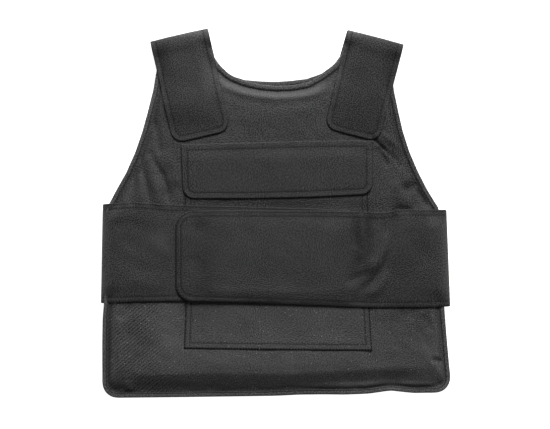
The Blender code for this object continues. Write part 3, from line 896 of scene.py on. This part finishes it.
def lying_on(node, wall, below, outline, folds, hangs=1.0):
    """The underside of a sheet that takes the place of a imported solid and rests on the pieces
    below, with its edges hanging down on them. The folds are a function of the grid's x and y."""
    low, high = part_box(node)
    field = Field(low[:2], high[:2])
    found = field.cast(tree_of(*below)) + CLEARANCE
    floor = np.where(np.isnan(found), 0.0, found)
    ground = np.maximum(blur(filled(found), CAST_ROUNDS), floor)
    seat = filled(field.cast(tree_of(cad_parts[node]))) - wall
    seat = np.maximum(blur(seat, CAST_ROUNDS), floor)
    for _ in range(SETTLE_ROUNDS):
        seat = np.maximum(blur(seat), floor)
    x, y = field.places()
    away = nearest_sides(np.stack([x.ravel(), y.ravel()], axis=1), outline)[0]
    hang = hangs * (1 - smooth(away.reshape(x.shape), HANG_NEAR, HANG_FAR))
    seat += hang * (np.minimum(seat, ground) - seat)
    field.values = np.maximum(seat + folds(x, y), floor)
    return field


def ripple(point, waves):
    """Soft unevenness of a cloth at a point of its cut, the same in each run."""
    return sum(
        height * noise.noise(Vector((point.x / size, point.y / size, seed)))
        for size, height, seed in waves
    )


def over(field, place, wall, point, waves):
    """The height of the middle of a sheet's wall over a field at a place."""
    return field.at(*place) + wall / 2 + max(ripple(point, waves), -CLEARANCE / 2)


# Materials


class Socket:
    """An output of a material's node, so that shader maths reads as sums."""

    def __init__(self, finish, output):
        self.finish = finish
        self.output = output

    def __add__(self, other):
        return self.finish.maths("ADD", self, other)

    def __sub__(self, other):
        return self.finish.maths("SUBTRACT", self, other)

    def __rsub__(self, other):
        return self.finish.maths("SUBTRACT", other, self)

    def __mul__(self, other):
        return self.finish.maths("MULTIPLY", self, other)

    __radd__ = __add__
    __rmul__ = __mul__


class Finish:
    """A material in the making: its nodes, and the shader that they feed."""

    def __init__(self, name):
        self.material = bpy.data.materials.new(name)
        self.material.use_nodes = True
        self.tree = self.material.node_tree

    def node(self, kind, settings, sockets, output=0):
        """Any node: its type, its settings, then the values or links of its sockets."""
        node = self.tree.nodes.new("ShaderNode" + kind)
        for key, value in settings.items():
            if key == "stops":
                for stop, (position, shade) in zip(node.color_ramp.elements, value):
                    stop.position = position
                    stop.color = (shade, shade, shade, 1)
            else:
                setattr(node, key, value)
        for key, value in sockets.items():
            self.feed(node.inputs[key], value)
        return Socket(self, node.outputs[output])

    def feed(self, socket, value):
        """Links a socket, or sets its plain value."""
        if isinstance(value, Socket):
            self.tree.links.new(value.output, socket)
        else:
            socket.default_value = value

    def shaded(self, values):
        """The finished material, with what feeds its shader."""
        for key, value in values.items():
            self.feed(self.tree.nodes["Principled BSDF"].inputs[key], value)
        return self.material

    def maths(self, operation, first, second):
        """One step of maths on two values, each plain or linked."""
        return self.node("Math", {"operation": operation}, {0: first, 1: second})

    def cut(self, scale=(1, 1, 1), turn=0.0):
        """The flat cut of the cloth, scaled and turned."""
        place = self.node("TexCoord", {}, {}, "UV")
        values = {"Vector": place, "Scale": scale, "Rotation": (0, 0, math.radians(turn))}
        return self.node("Mapping", {"vector_type": "TEXTURE"}, values)

    def place(self):
        """The place in the vest's frame."""
        return self.node("TexCoord", {}, {}, "Object")

    def parts(self, kind, value):
        """The three parts of a place or of a colour."""
        return [self.node("Separate" + kind, {}, {0: value}, part) for part in range(3)]

    def clouds(self, place, scale, detail=2.0, rough=0.5):
        """Soft cloudy unevenness around 0.5."""
        values = {"Vector": place, "Scale": scale, "Detail": detail, "Roughness": rough}
        return self.node("TexNoise", {}, values)

    def step(self, value, low, high):
        """0 up to low, 1 from high on, and a straight slope between them."""
        return self.node("ValToRGB", {"stops": ((low, 0.0), (high, 1.0))}, {0: value})

    def mottling(self, place, scale, detail, rough, low, high):
        """Clouds with a step, so that they part into dark and light spots."""
        return self.step(self.clouds(place, scale, detail, rough), low, high)

    def mixed(self, share, first, second):
        """A colour between two others, each plain or linked."""
        first, second = (c if isinstance(c, Socket) else (*c, 1) for c in (first, second))
        values = {"Factor": share, "A": first, "B": second}
        return self.node("Mix", {"data_type": "RGBA"}, values, 2)

    def ribs(self, place, pitch, turn):
        """Even ribs across the cut, from 0 to 1."""
        wave = {"wave_type": "BANDS", "bands_direction": "X", "wave_profile": "SIN"}
        values = {"Vector": place, "Rotation": (0, 0, math.radians(turn))}
        turned = self.node("Mapping", {"vector_type": "POINT"}, values)
        values = {"Vector": turned, "Scale": 2 * math.pi / WAVE_RADIANS / pitch, "Distortion": 0.0}
        return self.node("TexWave", wave, values, 1)


def woven(name, cloth):
    """A black twill or tape cloth: ribs, fine grain, dark needle holes and a few light fibres,
    with painted shade and light.
    """
    finish = Finish(name)
    cut = finish.cut()
    x, y, _ = finish.parts("XYZ", finish.place())
    turn = cloth["turn"]
    fine = finish.ribs(cut, cloth["pitch"], turn)
    cross = finish.ribs(cut, cloth["pitch"] * CROSS_PITCH, turn + 90)
    broad = finish.ribs(cut, cloth["broad"], turn)
    falling = finish.ribs(cut, cloth["broad"], turn + FALLING_TURN)
    patches = finish.mottling(cut, *PATCHES)
    grit = finish.mottling(cut, *GRIT)
    speckle = finish.mottling(cut, *SPECKLE)
    dashes = finish.mottling(finish.cut(DASH_SIZE, turn - 90), *DASHES)
    drift = finish.mottling(cut, *DRIFT)

    # Where on the vest: left, low (lighter by painted light), at the right shoulder (darker by
    # painted shade), and on the straps' folds (lighter by a painted highlight)
    left = finish.step(x * LEFT_TIMES, *LEFT_PART)
    low = finish.step(y * -1.0 + LOW_LESS, *LOW_PART)
    painted_shoulder_shade = finish.step(x, *SHOULDER_X) * finish.step(y, *SHOULDER_Y)
    high = finish.step(y, *STRAP_TOP)

    # The weave and the grain
    grain = GRIT_SHADE * (grit - 0.5) + SPECKLE_SHADE * (speckle - 0.5)
    shade = MIDDLE_SHADE + DRIFT_SHADE * (drift - 0.5) + cloth["grain"] * grain
    weave = (WEAVE_LEAST + PATCH_WEAVE * patches + left * low) * (broad - 0.5)
    weave = weave + FALLING_WEAVE * left * (1 - low) * (falling - 0.5)
    weave = weave * (DASH_LEAST + DASH_WEAVE * dashes)
    # Painted shade at the right shoulder, painted light low down, painted highlight on the straps'
    # folds
    shade = shade + cloth["show"] * weave - SHOULDER_PAINTED_SHADE * painted_shoulder_shade
    shade = shade + cloth["low"] * low + cloth["fold_highlight"] * high * (FOLD_HIGHLIGHT_LEAST + speckle)

    # Painted shade and light, painted shade in the seams' grooves with their needle holes, under
    # the edges and beside the pads' rims, and loose fibres
    sewing = finish.node("Attribute", {"attribute_name": "sewing"}, {})
    seam, painted_light_and_shade, number = finish.parts("Color", sewing)
    hole = 1 - finish.step(finish.maths("PINGPONG", number, 0.5), *HOLE_STEP)
    colour = finish.mixed(shade + PAINTED_TONE_SHADE * (painted_light_and_shade - PAINTED_TONE_BASE), cloth["dark"], cloth["light"])
    painted_shade_depth = cloth["painted_shade_depth"] + (HOLE_DARK - cloth["painted_shade_depth"]) * hole
    colour = finish.mixed(seam * painted_shade_depth, colour, PAINTED_SHADE_COLOUR)
    spots = {"Vector": cut, "Scale": FIBRE_SPOTS}
    away = finish.node("TexVoronoi", {}, spots)
    chance = finish.parts("Color", finish.node("TexVoronoi", {}, spots, 1))[0]
    fibres = (1 - finish.step(away, *FIBRE_STEP)) * finish.step(chance, *FIBRE_CHANCE)
    fibres = fibres * (FIBRE_LEAST + (1 - FIBRE_LEAST) * low) * cloth["lint"]
    colour = finish.mixed(fibres, colour, FIBRE_COLOUR)

    height = FINE_RELIEF * fine + CROSS_RELIEF * cross + SPECKLE_RELIEF * speckle
    height = height + GRIT_RELIEF * grit + WEAVE_RELIEF * cloth["show"] * weave
    values = {"Strength": 1.0, "Distance": 1.0, "Height": height}
    return finish.shaded({
        "Base Color": colour,
        "Roughness": cloth["rough"] + ROUGH_DRIFT * (drift - 0.5),
        "Normal": finish.node("Bump", {}, values),
        **SHEEN,
    })


def thread_finish():
    """Black thread, with the lay of its twist."""
    finish = Finish("sewing_thread")
    lay = finish.clouds(finish.place(), LAY_CLOUDS, 1.0)
    return finish.shaded({
        "Base Color": finish.mixed(lay, THREAD_DARK, THREAD_LIGHT),
        "Roughness": THREAD_ROUGH + THREAD_ROUGH_MORE * lay,
    })


def floor_finish():
    """A pale floor that glows a little, so that it stays white."""
    finish = Finish("pale_floor")
    drift = finish.clouds(finish.place(), FLOOR_CLOUDS)
    return finish.shaded({
        "Base Color": finish.mixed(drift, FLOOR_DARK, FLOOR_LIGHT),
        "Roughness": FLOOR_ROUGH,
        "Emission Color": WHITE,
        "Emission Strength": 1.0,
    })


# Pieces


def outside(place, point, half):
    """A place on the upper skin of a sheet."""
    x_step, y_step = Vector((UPRIGHT_STEP, 0)), Vector((0, UPRIGHT_STEP))
    along = place(point + x_step) - place(point - x_step)
    across = place(point + y_step) - place(point - y_step)
    return place(point) + along.cross(across).normalized() * half


def stitch(name):
    """One stitch of thread along +X: a thin bar that narrows and sinks at its ends."""
    bpy.ops.object.select_all(action="DESELECT")
    bpy.ops.mesh.primitive_cylinder_add(
        vertices=STITCH_SIDES,
        radius=THREAD_RADIUS,
        depth=STITCH_LENGTH,
        rotation=(0, math.pi / 2, 0),
    )
    obj = bpy.context.object
    obj.name = name
    bpy.ops.object.transform_apply(location=True, rotation=True, scale=True)
    bpy.ops.object.mode_set(mode="EDIT")
    for share in STITCH_CUTS:
        bpy.ops.mesh.select_all(action="SELECT")
        bpy.ops.mesh.bisect(plane_co=(share * STITCH_LENGTH, 0, 0), plane_no=(1, 0, 0))
    bpy.ops.object.mode_set(mode="OBJECT")
    for vert in obj.data.vertices:
        bow = 1 - (vert.co.x / (STITCH_LENGTH / 2)) ** 2
        sink = STITCH_SINK * THREAD_RADIUS * (1 - bow)
        vert.co.y *= STITCH_WIDTH[0] + STITCH_WIDTH[1] * bow
        vert.co.z = vert.co.z * (STITCH_HEIGHT[0] + STITCH_HEIGHT[1] * bow) - sink
        vert.co.x += STITCH_PITCH / 2
    obj.data.shade_smooth()
    return obj


def stitch_line(name, line):
    """Stitches along a closed line of places on the cloth."""
    data = bpy.data.curves.new(name + "_path", "CURVE")
    data.dimensions = "3D"
    data.twist_mode = "Z_UP"
    spline = data.splines.new("POLY")
    spline.points.add(len(line) - 1)
    for point, place in zip(spline.points, line):
        point.co = (*place, 1)
    spline.use_cyclic_u = True
    path = bpy.data.objects.new(name + "_path", data)
    bpy.context.scene.collection.objects.link(path)
    bar = stitch(name)
    length = sum((b - a).length for a, b in zip(line, line[1:]))
    length += (line[0] - line[-1]).length
    row = bar.modifiers.new("Row", "ARRAY")
    row.count = max(int(length / STITCH_PITCH), 1)
    row.use_relative_offset = False
    row.use_constant_offset = True
    row.constant_offset_displace = (length / row.count, 0, 0)
    bend = bar.modifiers.new("Bend", "CURVE")
    bend.object = path
    apply_modifiers(bar)
    bpy.data.objects.remove(path)
    bpy.data.curves.remove(data)
    return bar


def stitching(name, lines, finish):
    """All the stitches of a piece, joined."""
    bars = [stitch_line(name, line) for line in lines]
    bpy.ops.object.select_all(action="DESELECT")
    for bar in bars:
        bar.select_set(True)
    bpy.context.view_layer.objects.active = bars[0]
    if len(bars) > 1:
        bpy.ops.object.join()
    bars[0].name = name
    bars[0].data.materials.append(finish)
    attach(bars[0], "root")


def seam_lines(loop, seams, place, wall):
    """The stitch lines of a sheet, on its upper skin."""
    lines = []
    for seam in seams:
        half = wall / 2 * wall_share(seam, seams, wall) + THREAD_LIFT
        lines.append([outside(place, point, half) for point in inset_loop(loop, seam)])
    return lines


def turn_rows(root, low, high, fullness):
    """A cloth's turn from its root to the front, in rows: flat length, reach from the fold, and
    lift. The root's reach, the turn's depth below and above, and its fullness are given."""
    steps = [(root, 0.0)]
    for degrees in TURN_DEGREES:
        depth = low if degrees < 0 else high
        bend = math.radians(degrees)
        lift = (1 + math.copysign(abs(math.sin(bend)) ** fullness, bend)) / 2
        steps.append((depth * (1 - max(math.cos(bend), 0.0) ** fullness), lift))
    rows, passed, previous = [], high, steps[-1]
    for reach, lift in reversed(steps):
        passed -= math.hypot(reach - previous[0], TURN_RISE * (lift - previous[1]))
        rows.append((passed, reach, lift))
        previous = (reach, lift)
    return rows[::-1]


def in_turn(rows, flat):
    """How far from its fold a cloth is at a flat length, and its lift there."""
    if flat < rows[-1][0]:
        return table(rows, flat, 1), table(rows, flat, 2)
    return flat, 1.0


def lifted(height, wall, lift):
    """A height by its lift: 0 is at the root just over the floor, and 1 is the full height."""
    lowest = wall / 2 + ROOT_GAP
    return lowest + (height - lowest) * lift


def belt_piece(name, node, spec, below, finish):
    """A belt from its root under the back panel, round the side and over the front. The right one
    shows its round end."""
    side, fold = spec["side"], spec["fold"]
    rows = turn_rows(fold - BELT_ROOT_X, BELT_TURN_LOW, BELT_TURN_HIGH, TURN_FULLNESS)
    root = side * (fold - rows[0][0])
    top = edge_curve(spec["edges"], 1)
    bottom = edge_curve(spec["edges"], 2)
    corners = []
    if side > 0:
        corners += [(bottom[0], BELT_END_RADIUS), *((p, 0) for p in bottom[1:-1])]
        corners += [(Vector((root, bottom[-1].y)), 0), (Vector((root, top[-1].y)), 0)]
        corners += [*((p, 0) for p in top[-2:0:-1]), (top[0], BELT_END_RADIUS)]
    else:
        corners += [(Vector((root, bottom[0].y)), 0), *((p, 0) for p in bottom[1:])]
        corners += [*((p, 0) for p in top[:0:-1]), (Vector((root, top[0].y)), 0)]
    loop = even_loop(rounded(corners))
    field = lying_on(
        node, BELT_WALL, below, loop, lambda x, y: ridges(spec["folds"], x, y), spec["hangs"]
    )

    def place(point):
        reach, lift = in_turn(rows, fold - side * point.x)
        slanted = spec["slant"] * (1 - smooth(reach, 0.0, 2 * BELT_TURN_HIGH))
        x = side * (fold - reach) + side * slanted * (BELT_MIDDLE_Y - point.y)
        height = over(field, (x, point.y), BELT_WALL, point, BELT_WAVES)
        return Vector((x, point.y, lifted(height, BELT_WALL, lift)))

    return sewn_sheet(name, loop, BELT_SEAMS, BELT_WALL, place, finish)


def strap_piece(name, node, spec, below, finish):
    """A strap from its root under the back panel's shoulder, over the top and down the front."""
    slant = math.radians(spec["slant"])
    run = Vector((math.sin(slant), -math.cos(slant)))
    across = Vector((math.cos(slant), math.sin(slant)))
    fold = Vector(spec["fold"])
    rows = turn_rows(STRAP_ROOT, STRAP_TURN, STRAP_TURN, STRAP_FULLNESS)
    wide, end, root = STRAP_HALF_WIDTH, -spec["length"], -rows[0][0]
    corners = [
        (Vector((spec["narrows"] - wide, end)), STRAP_END_RADIUS),
        (Vector((wide, end)), STRAP_END_RADIUS),
        (Vector((wide, root)), 0),
        (Vector((-wide, root)), 0),
    ]
    loop = even_loop(rounded(corners))

    def folds(x, y):
        x, y = x - fold.x, y - fold.y
        return ridges(spec["folds"], x * across.x + y * across.y, -x * run.x - y * run.y)

    lying = [fold - p.y * run + p.x * across for p in loop]
    field = lying_on(node, STRAP_WALL, below, lying, folds)

    def place(point):
        reach, lift = in_turn(rows, -point.y)
        x, y = fold + reach * run + point.x * across
        level = fold + max(reach, STRAP_LEVEL) * run + point.x * across
        height = over(field, level, STRAP_WALL, point, STRAP_WAVES)
        return Vector((x, y, lifted(height, STRAP_WALL, lift)))

    return sewn_sheet(name, loop, (STRAP_SEAM,), STRAP_WALL, place, finish)


def flat_piece(name, node, loop, seams, wall, waves, hangs, below, finish):
    """A sheet sewn flat on the front panel."""
    field = lying_on(node, wall, below, loop, lambda x, y: 0.0, hangs)

    def place(point):
        return Vector((*point, over(field, point, wall, point, waves)))

    return sewn_sheet(name, loop, seams, wall, place, finish)


def pocket_loop():
    """The pocket's cut, with its upper right corner a little lower."""
    left = edge_curve(POCKET_EDGES, 1, across=True)
    right = edge_curve(POCKET_EDGES, 2, across=True)
    right[0] = right[0] - Vector((0, POCKET_CORNER_DROP))
    return even_loop([*right, *left[::-1]])


def flap_loop():
    """The flap's cut, with its two lower corners round."""
    top, bottom = edge_curve(FLAP_EDGES, 1), edge_curve(FLAP_EDGES, 2)
    first = bottom[0] + Vector((FLAP_NARROWS, 0))
    corners = [(first, FLAP_CORNER), *((p, 0) for p in bottom[1:-1])]
    corners += [(bottom[-1], FLAP_CORNER), *((p, 0) for p in top[::-1])]
    return even_loop(rounded(corners))


def solid_outline(node):
    """The top edge of a packed panel's rim as a smooth closed line with sharp shoulder corners."""
    bm = bmesh.new()
    bm.from_mesh(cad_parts[node].data)
    bmesh.ops.remove_doubles(bm, verts=bm.verts, dist=RIM_CLOSE)
    following = {}
    for edge in bm.edges:
        if len(edge.link_faces) != 2:
            continue
        tilts = sorted(face.normal.z for face in edge.link_faces)
        if abs(tilts[0]) < RIM_STEEP and tilts[1] > RIM_LEVEL:
            for vert in edge.verts:
                following.setdefault(vert, []).append(edge.other_vert(vert))
    start = next(iter(following))
    loop, previous, here = [], None, start
    while here is not start or not loop:
        loop.append(here.co.copy())
        ahead = [other for other in following[here] if other is not previous]
        previous, here = here, ahead[0]
    bm.free()
    if sum(a.xy.cross(b.xy) for a, b in zip(loop, loop[1:] + loop[:1])) < 0:
        loop.reverse()
    line = []
    for run in runs_between_corners(loop):
        line += eased(run)[:-1]
    return even_loop(line)


def swell(pad, start):
    """Lets the cloth of a pad swell, pinned at its rim, and keeps the move small."""
    cloth = pad.modifiers.new("Swell", "CLOTH")
    for key, value in SWELL.items():
        setattr(cloth.settings, key, value)
    cloth.settings.effector_weights.gravity = 0
    cloth.collision_settings.use_collision = False
    cloth.point_cache.frame_start = 1
    cloth.point_cache.frame_end = SWELL_FRAMES
    for number in range(1, SWELL_FRAMES + 1):
        bpy.context.scene.frame_set(number)
    apply_modifiers(pad)
    for vert, home in zip(pad.data.vertices, start):
        move = vert.co - home
        if move.length > SWELL_MOST:
            vert.co = home + move * (SWELL_MOST / move.length)


def panel_piece(name, node, line, finish, cells, creases, hem_folds, sinks_to):
    """A padded panel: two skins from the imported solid, swollen, with a thin pinned rim."""
    loop = [point.xy for point in line]
    tree = tree_of(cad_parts[node])
    low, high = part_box(node)
    top, bottom = Field(low[:2], high[:2]), Field(low[:2], high[:2])
    top.values = blur(filled(top.cast(tree)), CAST_ROUNDS)
    bottom.values = blur(filled(bottom.cast(tree, up=True)), CAST_ROUNDS)
    flat, faces = cut_cloth(loop, RIM_RINGS, cells[0])
    flat_under, faces_under = cut_cloth(loop, RIM_RINGS, cells[1])
    count, held, places = len(flat), [], []
    edges = np.array([point.z for point in line])
    rises = np.roll(edges, -1) - edges
    for side, points in ((1, flat), (-1, flat_under)):
        away, _, near, part = nearest_sides(points, line)
        for point, distance, edge in zip(points, away, edges[near] + part * rises[near]):
            share = smooth(distance, TAPE_REACH, TAPE_REACH + TAPE_STEP)
            high_z = edge + (top.at(point.x, point.y) - edge) * share
            edge -= RIM_THICKNESS
            low_z = edge + (bottom.at(point.x, point.y) - edge) * share
            middle, half = (high_z + low_z) / 2, (high_z - low_z) / 2
            if distance > PINNED_RIM:
                half *= START_SHARE
            if distance < PINNED_RIM + PINNED_MORE:
                held.append(len(places))
            places.append(Vector((point.x, point.y, middle + side * half)))
    skins = [tuple(face) for face in faces]
    skins += [tuple(count + v for v in reversed(face)) for face in faces_under]
    rim = range(len(loop))
    skins += [((k + 1) % len(rim), k, count + k, count + (k + 1) % len(rim)) for k in rim]
    pad = cloth_mesh(name, flat + flat_under, skins, places)
    group = pad.vertex_groups.new(name="pinned")
    group.add(held, 1.0, "REPLACE")
    start = [vert.co.copy() for vert in pad.data.vertices]
    swell(pad, start)
    for index, vert in enumerate(pad.data.vertices):
        if index < count:
            vert.co.z = min(vert.co.z, top.at(vert.co.x, vert.co.y) + OVER_SOLID)
        else:
            vert.co.z = max(vert.co.z, bottom.at(vert.co.x, vert.co.y) - sinks_to)
            vert.co.z = max(vert.co.z, FLOOR_GAP)
    finer = pad.modifiers.new("Finer", "SUBSURF")
    finer.levels = 1
    finer.render_levels = 1
    finer.use_limit_surface = False
    apply_modifiers(pad)
    places = [vert.co.copy() for vert in pad.data.vertices]
    tilts = [normal.vector.z for normal in pad.data.vertex_normals]
    away = nearest_sides([place.xy for place in places], loop)[0]
    inner = smooth(away, PINNED_RIM, PINNED_RIM + FOLD_START)
    x, y = (np.array([place[axis] for place in places]) for axis in (0, 1))
    heights = ridges(creases, x, y) + ridges(hem_folds, x, y, HEM_SPREAD)
    for vert, place, tilt, share, height in zip(pad.data.vertices, places, tilts, inner, heights):
        if tilt > 0:
            vert.co.z += (height + ripple(place, PAD_WAVES)) * share
        vert.co.z = max(vert.co.z, FLOOR_GAP)
    pad.data.shade_smooth()
    marks = pad.data.attributes.new("sewing", "FLOAT_COLOR", "POINT")
    for mark, place, distance in zip(marks.data, places, away):
        # Painted shade beside the rim, stronger low on the left side
        turned = 1 - smooth(distance, PINNED_RIM, PINNED_RIM + TURN_IN)
        side = smooth(-place.x, *TURN_SIDE_X) * smooth(-place.y, *TURN_SIDE_Y)
        # A painted sheen below the neckline
        painted_sheen = math.exp(-(((distance - NECK_SHEEN_AT) / NECK_SHEEN_HALF_WIDTH) ** 2))
        painted_sheen *= smooth(place.y, *NECK_SHEEN_Y) * smooth(-abs(place.x - NECK_SHEEN_MIDDLE), *NECK_SHEEN_X)
        mark.color = (
            turned * (RIM_PAINTED_SHADE + (RIM_SIDE_PAINTED_SHADE - RIM_PAINTED_SHADE) * side) * RIM_PAINTED_SHADE_MOST,
            NECK_PAINTED_SHEEN * painted_sheen + PAINTED_TONE_BASE + painted_tone_at(place),
            0.0,
            1.0,
        )
    pad.data.materials.append(finish)
    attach(pad, "root")
    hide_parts(node)
    return pad


def tape_line(loop, inset):
    """A loop moved in by a distance with as many points as before, its corners mitred."""
    ways = {tuple(point): inward(loop, k) for k, point in enumerate(loop)}
    result = []
    for run in runs_between_corners(loop):
        moved = [point + inset * ways[tuple(point)] for point in run]
        away = nearest_sides(moved, loop)[0]
        least = abs(inset) * INSET_SHARE
        kept = [p for p, distance in zip(moved[1:-1], away[1:-1]) if distance >= least]
        result += even_run([moved[0], *kept, moved[-1]], len(run) - 1)
    return result


def binding_piece(name, rim, finish, waves):
    """A tape folded over a panel's rim all the way round. The rim is its top edge, in place."""
    loop = [point.xy for point in rim]
    count = len(loop)
    middle = [point.z - RIM_THICKNESS / 2 for point in rim]
    reach = TAPE_WIDTH - TAPE_OUT - TAPE_WALL / 2
    bend = RIM_THICKNESS / 2 + TAPE_OUT - TAPE_WALL / 2
    centre = bend - (TAPE_OUT - TAPE_WALL / 2)
    flat_insets = [centre + (reach - centre) * share for share in TAPE_SHARES]
    profile = [(inset, -bend) for inset in flat_insets]
    for degrees in TAPE_TURN:
        angle = math.radians(degrees)
        profile.append((centre - bend * math.cos(angle), bend * math.sin(angle)))
    profile += [(inset, bend) for inset in reversed(flat_insets)]
    across = [0.0]
    for (a, b), (c, d) in zip(profile, profile[1:]):
        across.append(across[-1] + math.hypot(c - a, d - b))
    lines = [tape_line(loop, inset) for inset, _ in profile]
    along = [0.0]
    for a, b in zip(loop, loop[1:] + loop[:1]):
        along.append(along[-1] + (b - a).length)
    places, flat = [], []
    for line, (inset, rise), passed in zip(lines, profile, across):
        for k in range(count + 1):
            x, y = line[k % count]
            loose = ripple(Vector((x, y)), waves) * (rise > 0)
            places.append(Vector((x, y, middle[k % count] + rise + loose)))
            flat.append(Vector((along[k], passed)))
    faces = []
    for row in range(len(profile) - 1):
        for k in range(count):
            first = row * (count + 1) + k
            faces.append((first, first + count + 1, first + count + 2, first + 1))
    tape = cloth_mesh(name, flat, faces, places)
    group = tape.vertex_groups.new(name="wall")
    width = across[-1]
    depths = [min(passed, width - passed) for passed in across for _ in range(count + 1)]
    seam = tape_line(loop, reach - TAPE_SEAM)
    turns = [(b - a).length for a, b in zip(seam, seam[1:] + seam[:1])]
    share = int(sum(turns) / STITCH_PITCH) / sum(turns)
    numbers = [sum(turns[:k]) * share for k in range(count + 1)] * len(across)
    mark_sewing(tape, depths, (TAPE_SEAM,), numbers, [1.0] * len(depths), TAPE_SEAM_PAINTED_SHADE)
    for row, passed in enumerate(across):
        share = wall_share(min(passed, width - passed), (TAPE_SEAM,), TAPE_WALL)
        group.add(range(row * (count + 1), (row + 1) * (count + 1)), share, "REPLACE")
    only(tape)
    bpy.ops.object.mode_set(mode="EDIT")
    bpy.ops.mesh.select_all(action="SELECT")
    bpy.ops.mesh.remove_doubles(threshold=TAPE_CLOSE)
    bpy.ops.mesh.normals_make_consistent(inside=False)
    bpy.ops.object.mode_set(mode="OBJECT")
    add_wall(tape, TAPE_WALL)
    tape.data.shade_smooth()
    tape.data.materials.append(finish)
    lift = bend + TAPE_WALL / 2 * wall_share(TAPE_SEAM, (TAPE_SEAM,), TAPE_WALL) + THREAD_LIFT
    sewn = [Vector((*seam[k], middle[k] + lift)) for k in range(count)]
    return tape, (along[-1], width), [sewn]


def light(name, energy, size, place, aim):
    """A round soft light."""
    data = bpy.data.lights.new(name, "AREA")
    data.energy = energy
    data.shape = "DISK"
    data.size = size
    lamp = bpy.data.objects.new(name, data)
    lamp.location = place
    lamp.rotation_euler = (Vector(aim) - Vector(place)).to_track_quat("-Z", "Y").to_euler()
    bpy.context.scene.collection.objects.link(lamp)


def studio():
    """The camera, the room, the pale floor and the lights."""
    scene = bpy.context.scene
    scene.view_settings.view_transform = "Standard"
    data = bpy.data.cameras.new("view_from_above")
    data.lens = LENS
    data.sensor_width = SENSOR
    camera = bpy.data.objects.new("view_from_above", data)
    reach = VIEW_WIDTH * LENS / SENSOR
    camera.location = (*VIEW_CENTRE, CLOTH_HEIGHT + reach)
    scene.collection.objects.link(camera)
    scene.camera = camera
    world = bpy.data.worlds.new("pale_room")
    world.use_nodes = True
    world.node_tree.nodes["Background"].inputs["Color"].default_value = WHITE
    world.node_tree.nodes["Background"].inputs["Strength"].default_value = ROOM_GLOW
    scene.world = world
    bpy.ops.object.select_all(action="DESELECT")
    bpy.ops.mesh.primitive_plane_add(size=FLOOR_SIZE)
    floor = bpy.context.object
    floor.name = "floor"
    floor.data.materials.append(floor_finish())
    for row in LIGHTS:
        light(*row)


def main():
    """The vest in its room: panels, tapes, pocket, flap, belts and straps, from below upwards."""
    studio()
    shell = woven("shell_cloth_twill", SHELL_TWILL)
    belt = woven("belt_cloth_twill", BELT_TWILL)
    tape = woven("binding_tape_ribs", TAPE_RIBS)
    thread = thread_finish()
    front_rim, back_rim = solid_outline("front_panel"), solid_outline("back_panel")
    back = panel_piece(
        "back_panel_pad", "back_panel", back_rim, shell, (BACK_CELL, BACK_CELL),
        (), (), BACK_SINKS,
    )
    front = panel_piece(
        "front_panel_pad", "front_panel", front_rim, shell, (PAD_CELL, UNDERSIDE_CELL),
        PANEL_FOLDS, HEM_FOLDS, FRONT_SINKS,
    )
    front_tape = binding_piece("front_binding_tape", front_rim, tape, FRONT_TAPE_WAVES)
    back_tape = binding_piece("back_binding_tape", back_rim, tape, BACK_TAPE_WAVES)
    for (piece, cut, lines), node, pad in (
        (front_tape, "front_edge_binding", front),
        (back_tape, "back_edge_binding", back),
    ):
        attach(piece, "root")
        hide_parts(node)
        stitching(node + "_stitching", lines, thread)
        print(piece.name, *cut)
    below = [back, front, front_tape[0], back_tape[0]]
    pocket = flat_piece(
        "plate_pocket_cloth", "plate_pocket", pocket_loop(), POCKET_SEAMS, POCKET_WALL,
        POCKET_WAVES, POCKET_HANGS, below, shell,
    )
    flap = flat_piece(
        "pocket_flap_cloth", "pocket_flap", flap_loop(), (FLAP_SEAM,), FLAP_WALL,
        FLAP_WAVES, FLAP_HANGS, below + [pocket[0]], belt,
    )
    left_belt = belt_piece(
        "left_belt_cloth", "belt_left", LEFT_BELT, below + [pocket[0]], belt
    )
    right_belt = belt_piece(
        "right_belt_cloth", "belt_right", RIGHT_BELT, below + [pocket[0], left_belt[0]], belt
    )
    left_strap = strap_piece("left_strap_cloth", "shoulder_strap_left", LEFT_STRAP, below, belt)
    right_strap = strap_piece(
        "right_strap_cloth", "shoulder_strap_right", RIGHT_STRAP, below, belt
    )
    pieces = (
        (pocket, "plate_pocket", "shell_cloth", "laid", ["front_panel_pad"]),
        (flap, "pocket_flap", "belt_cloth", "laid", ["plate_pocket_cloth"]),
        (left_belt, "belt_left", "belt_cloth", "folded", ["front_panel_pad"]),
        (right_belt, "belt_right", "belt_cloth", "folded", ["left_belt_cloth"]),
        (left_strap, "shoulder_strap_left", "belt_cloth", "folded", ["front_panel_pad"]),
        (right_strap, "shoulder_strap_right", "belt_cloth", "folded", ["front_panel_pad"]),
    )
    for (piece, area, loop, lines), node, slot, held, rests in pieces:
        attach(piece, "root")
        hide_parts(node)
        width = max(p.x for p in loop) - min(p.x for p in loop)
        length = max(p.y for p in loop) - min(p.y for p in loop)
        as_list(rests)
        stitching(node + "_stitching", lines, thread)
        print(piece.name, round(width, 4), round(length, 4), round(area, 5))


main()
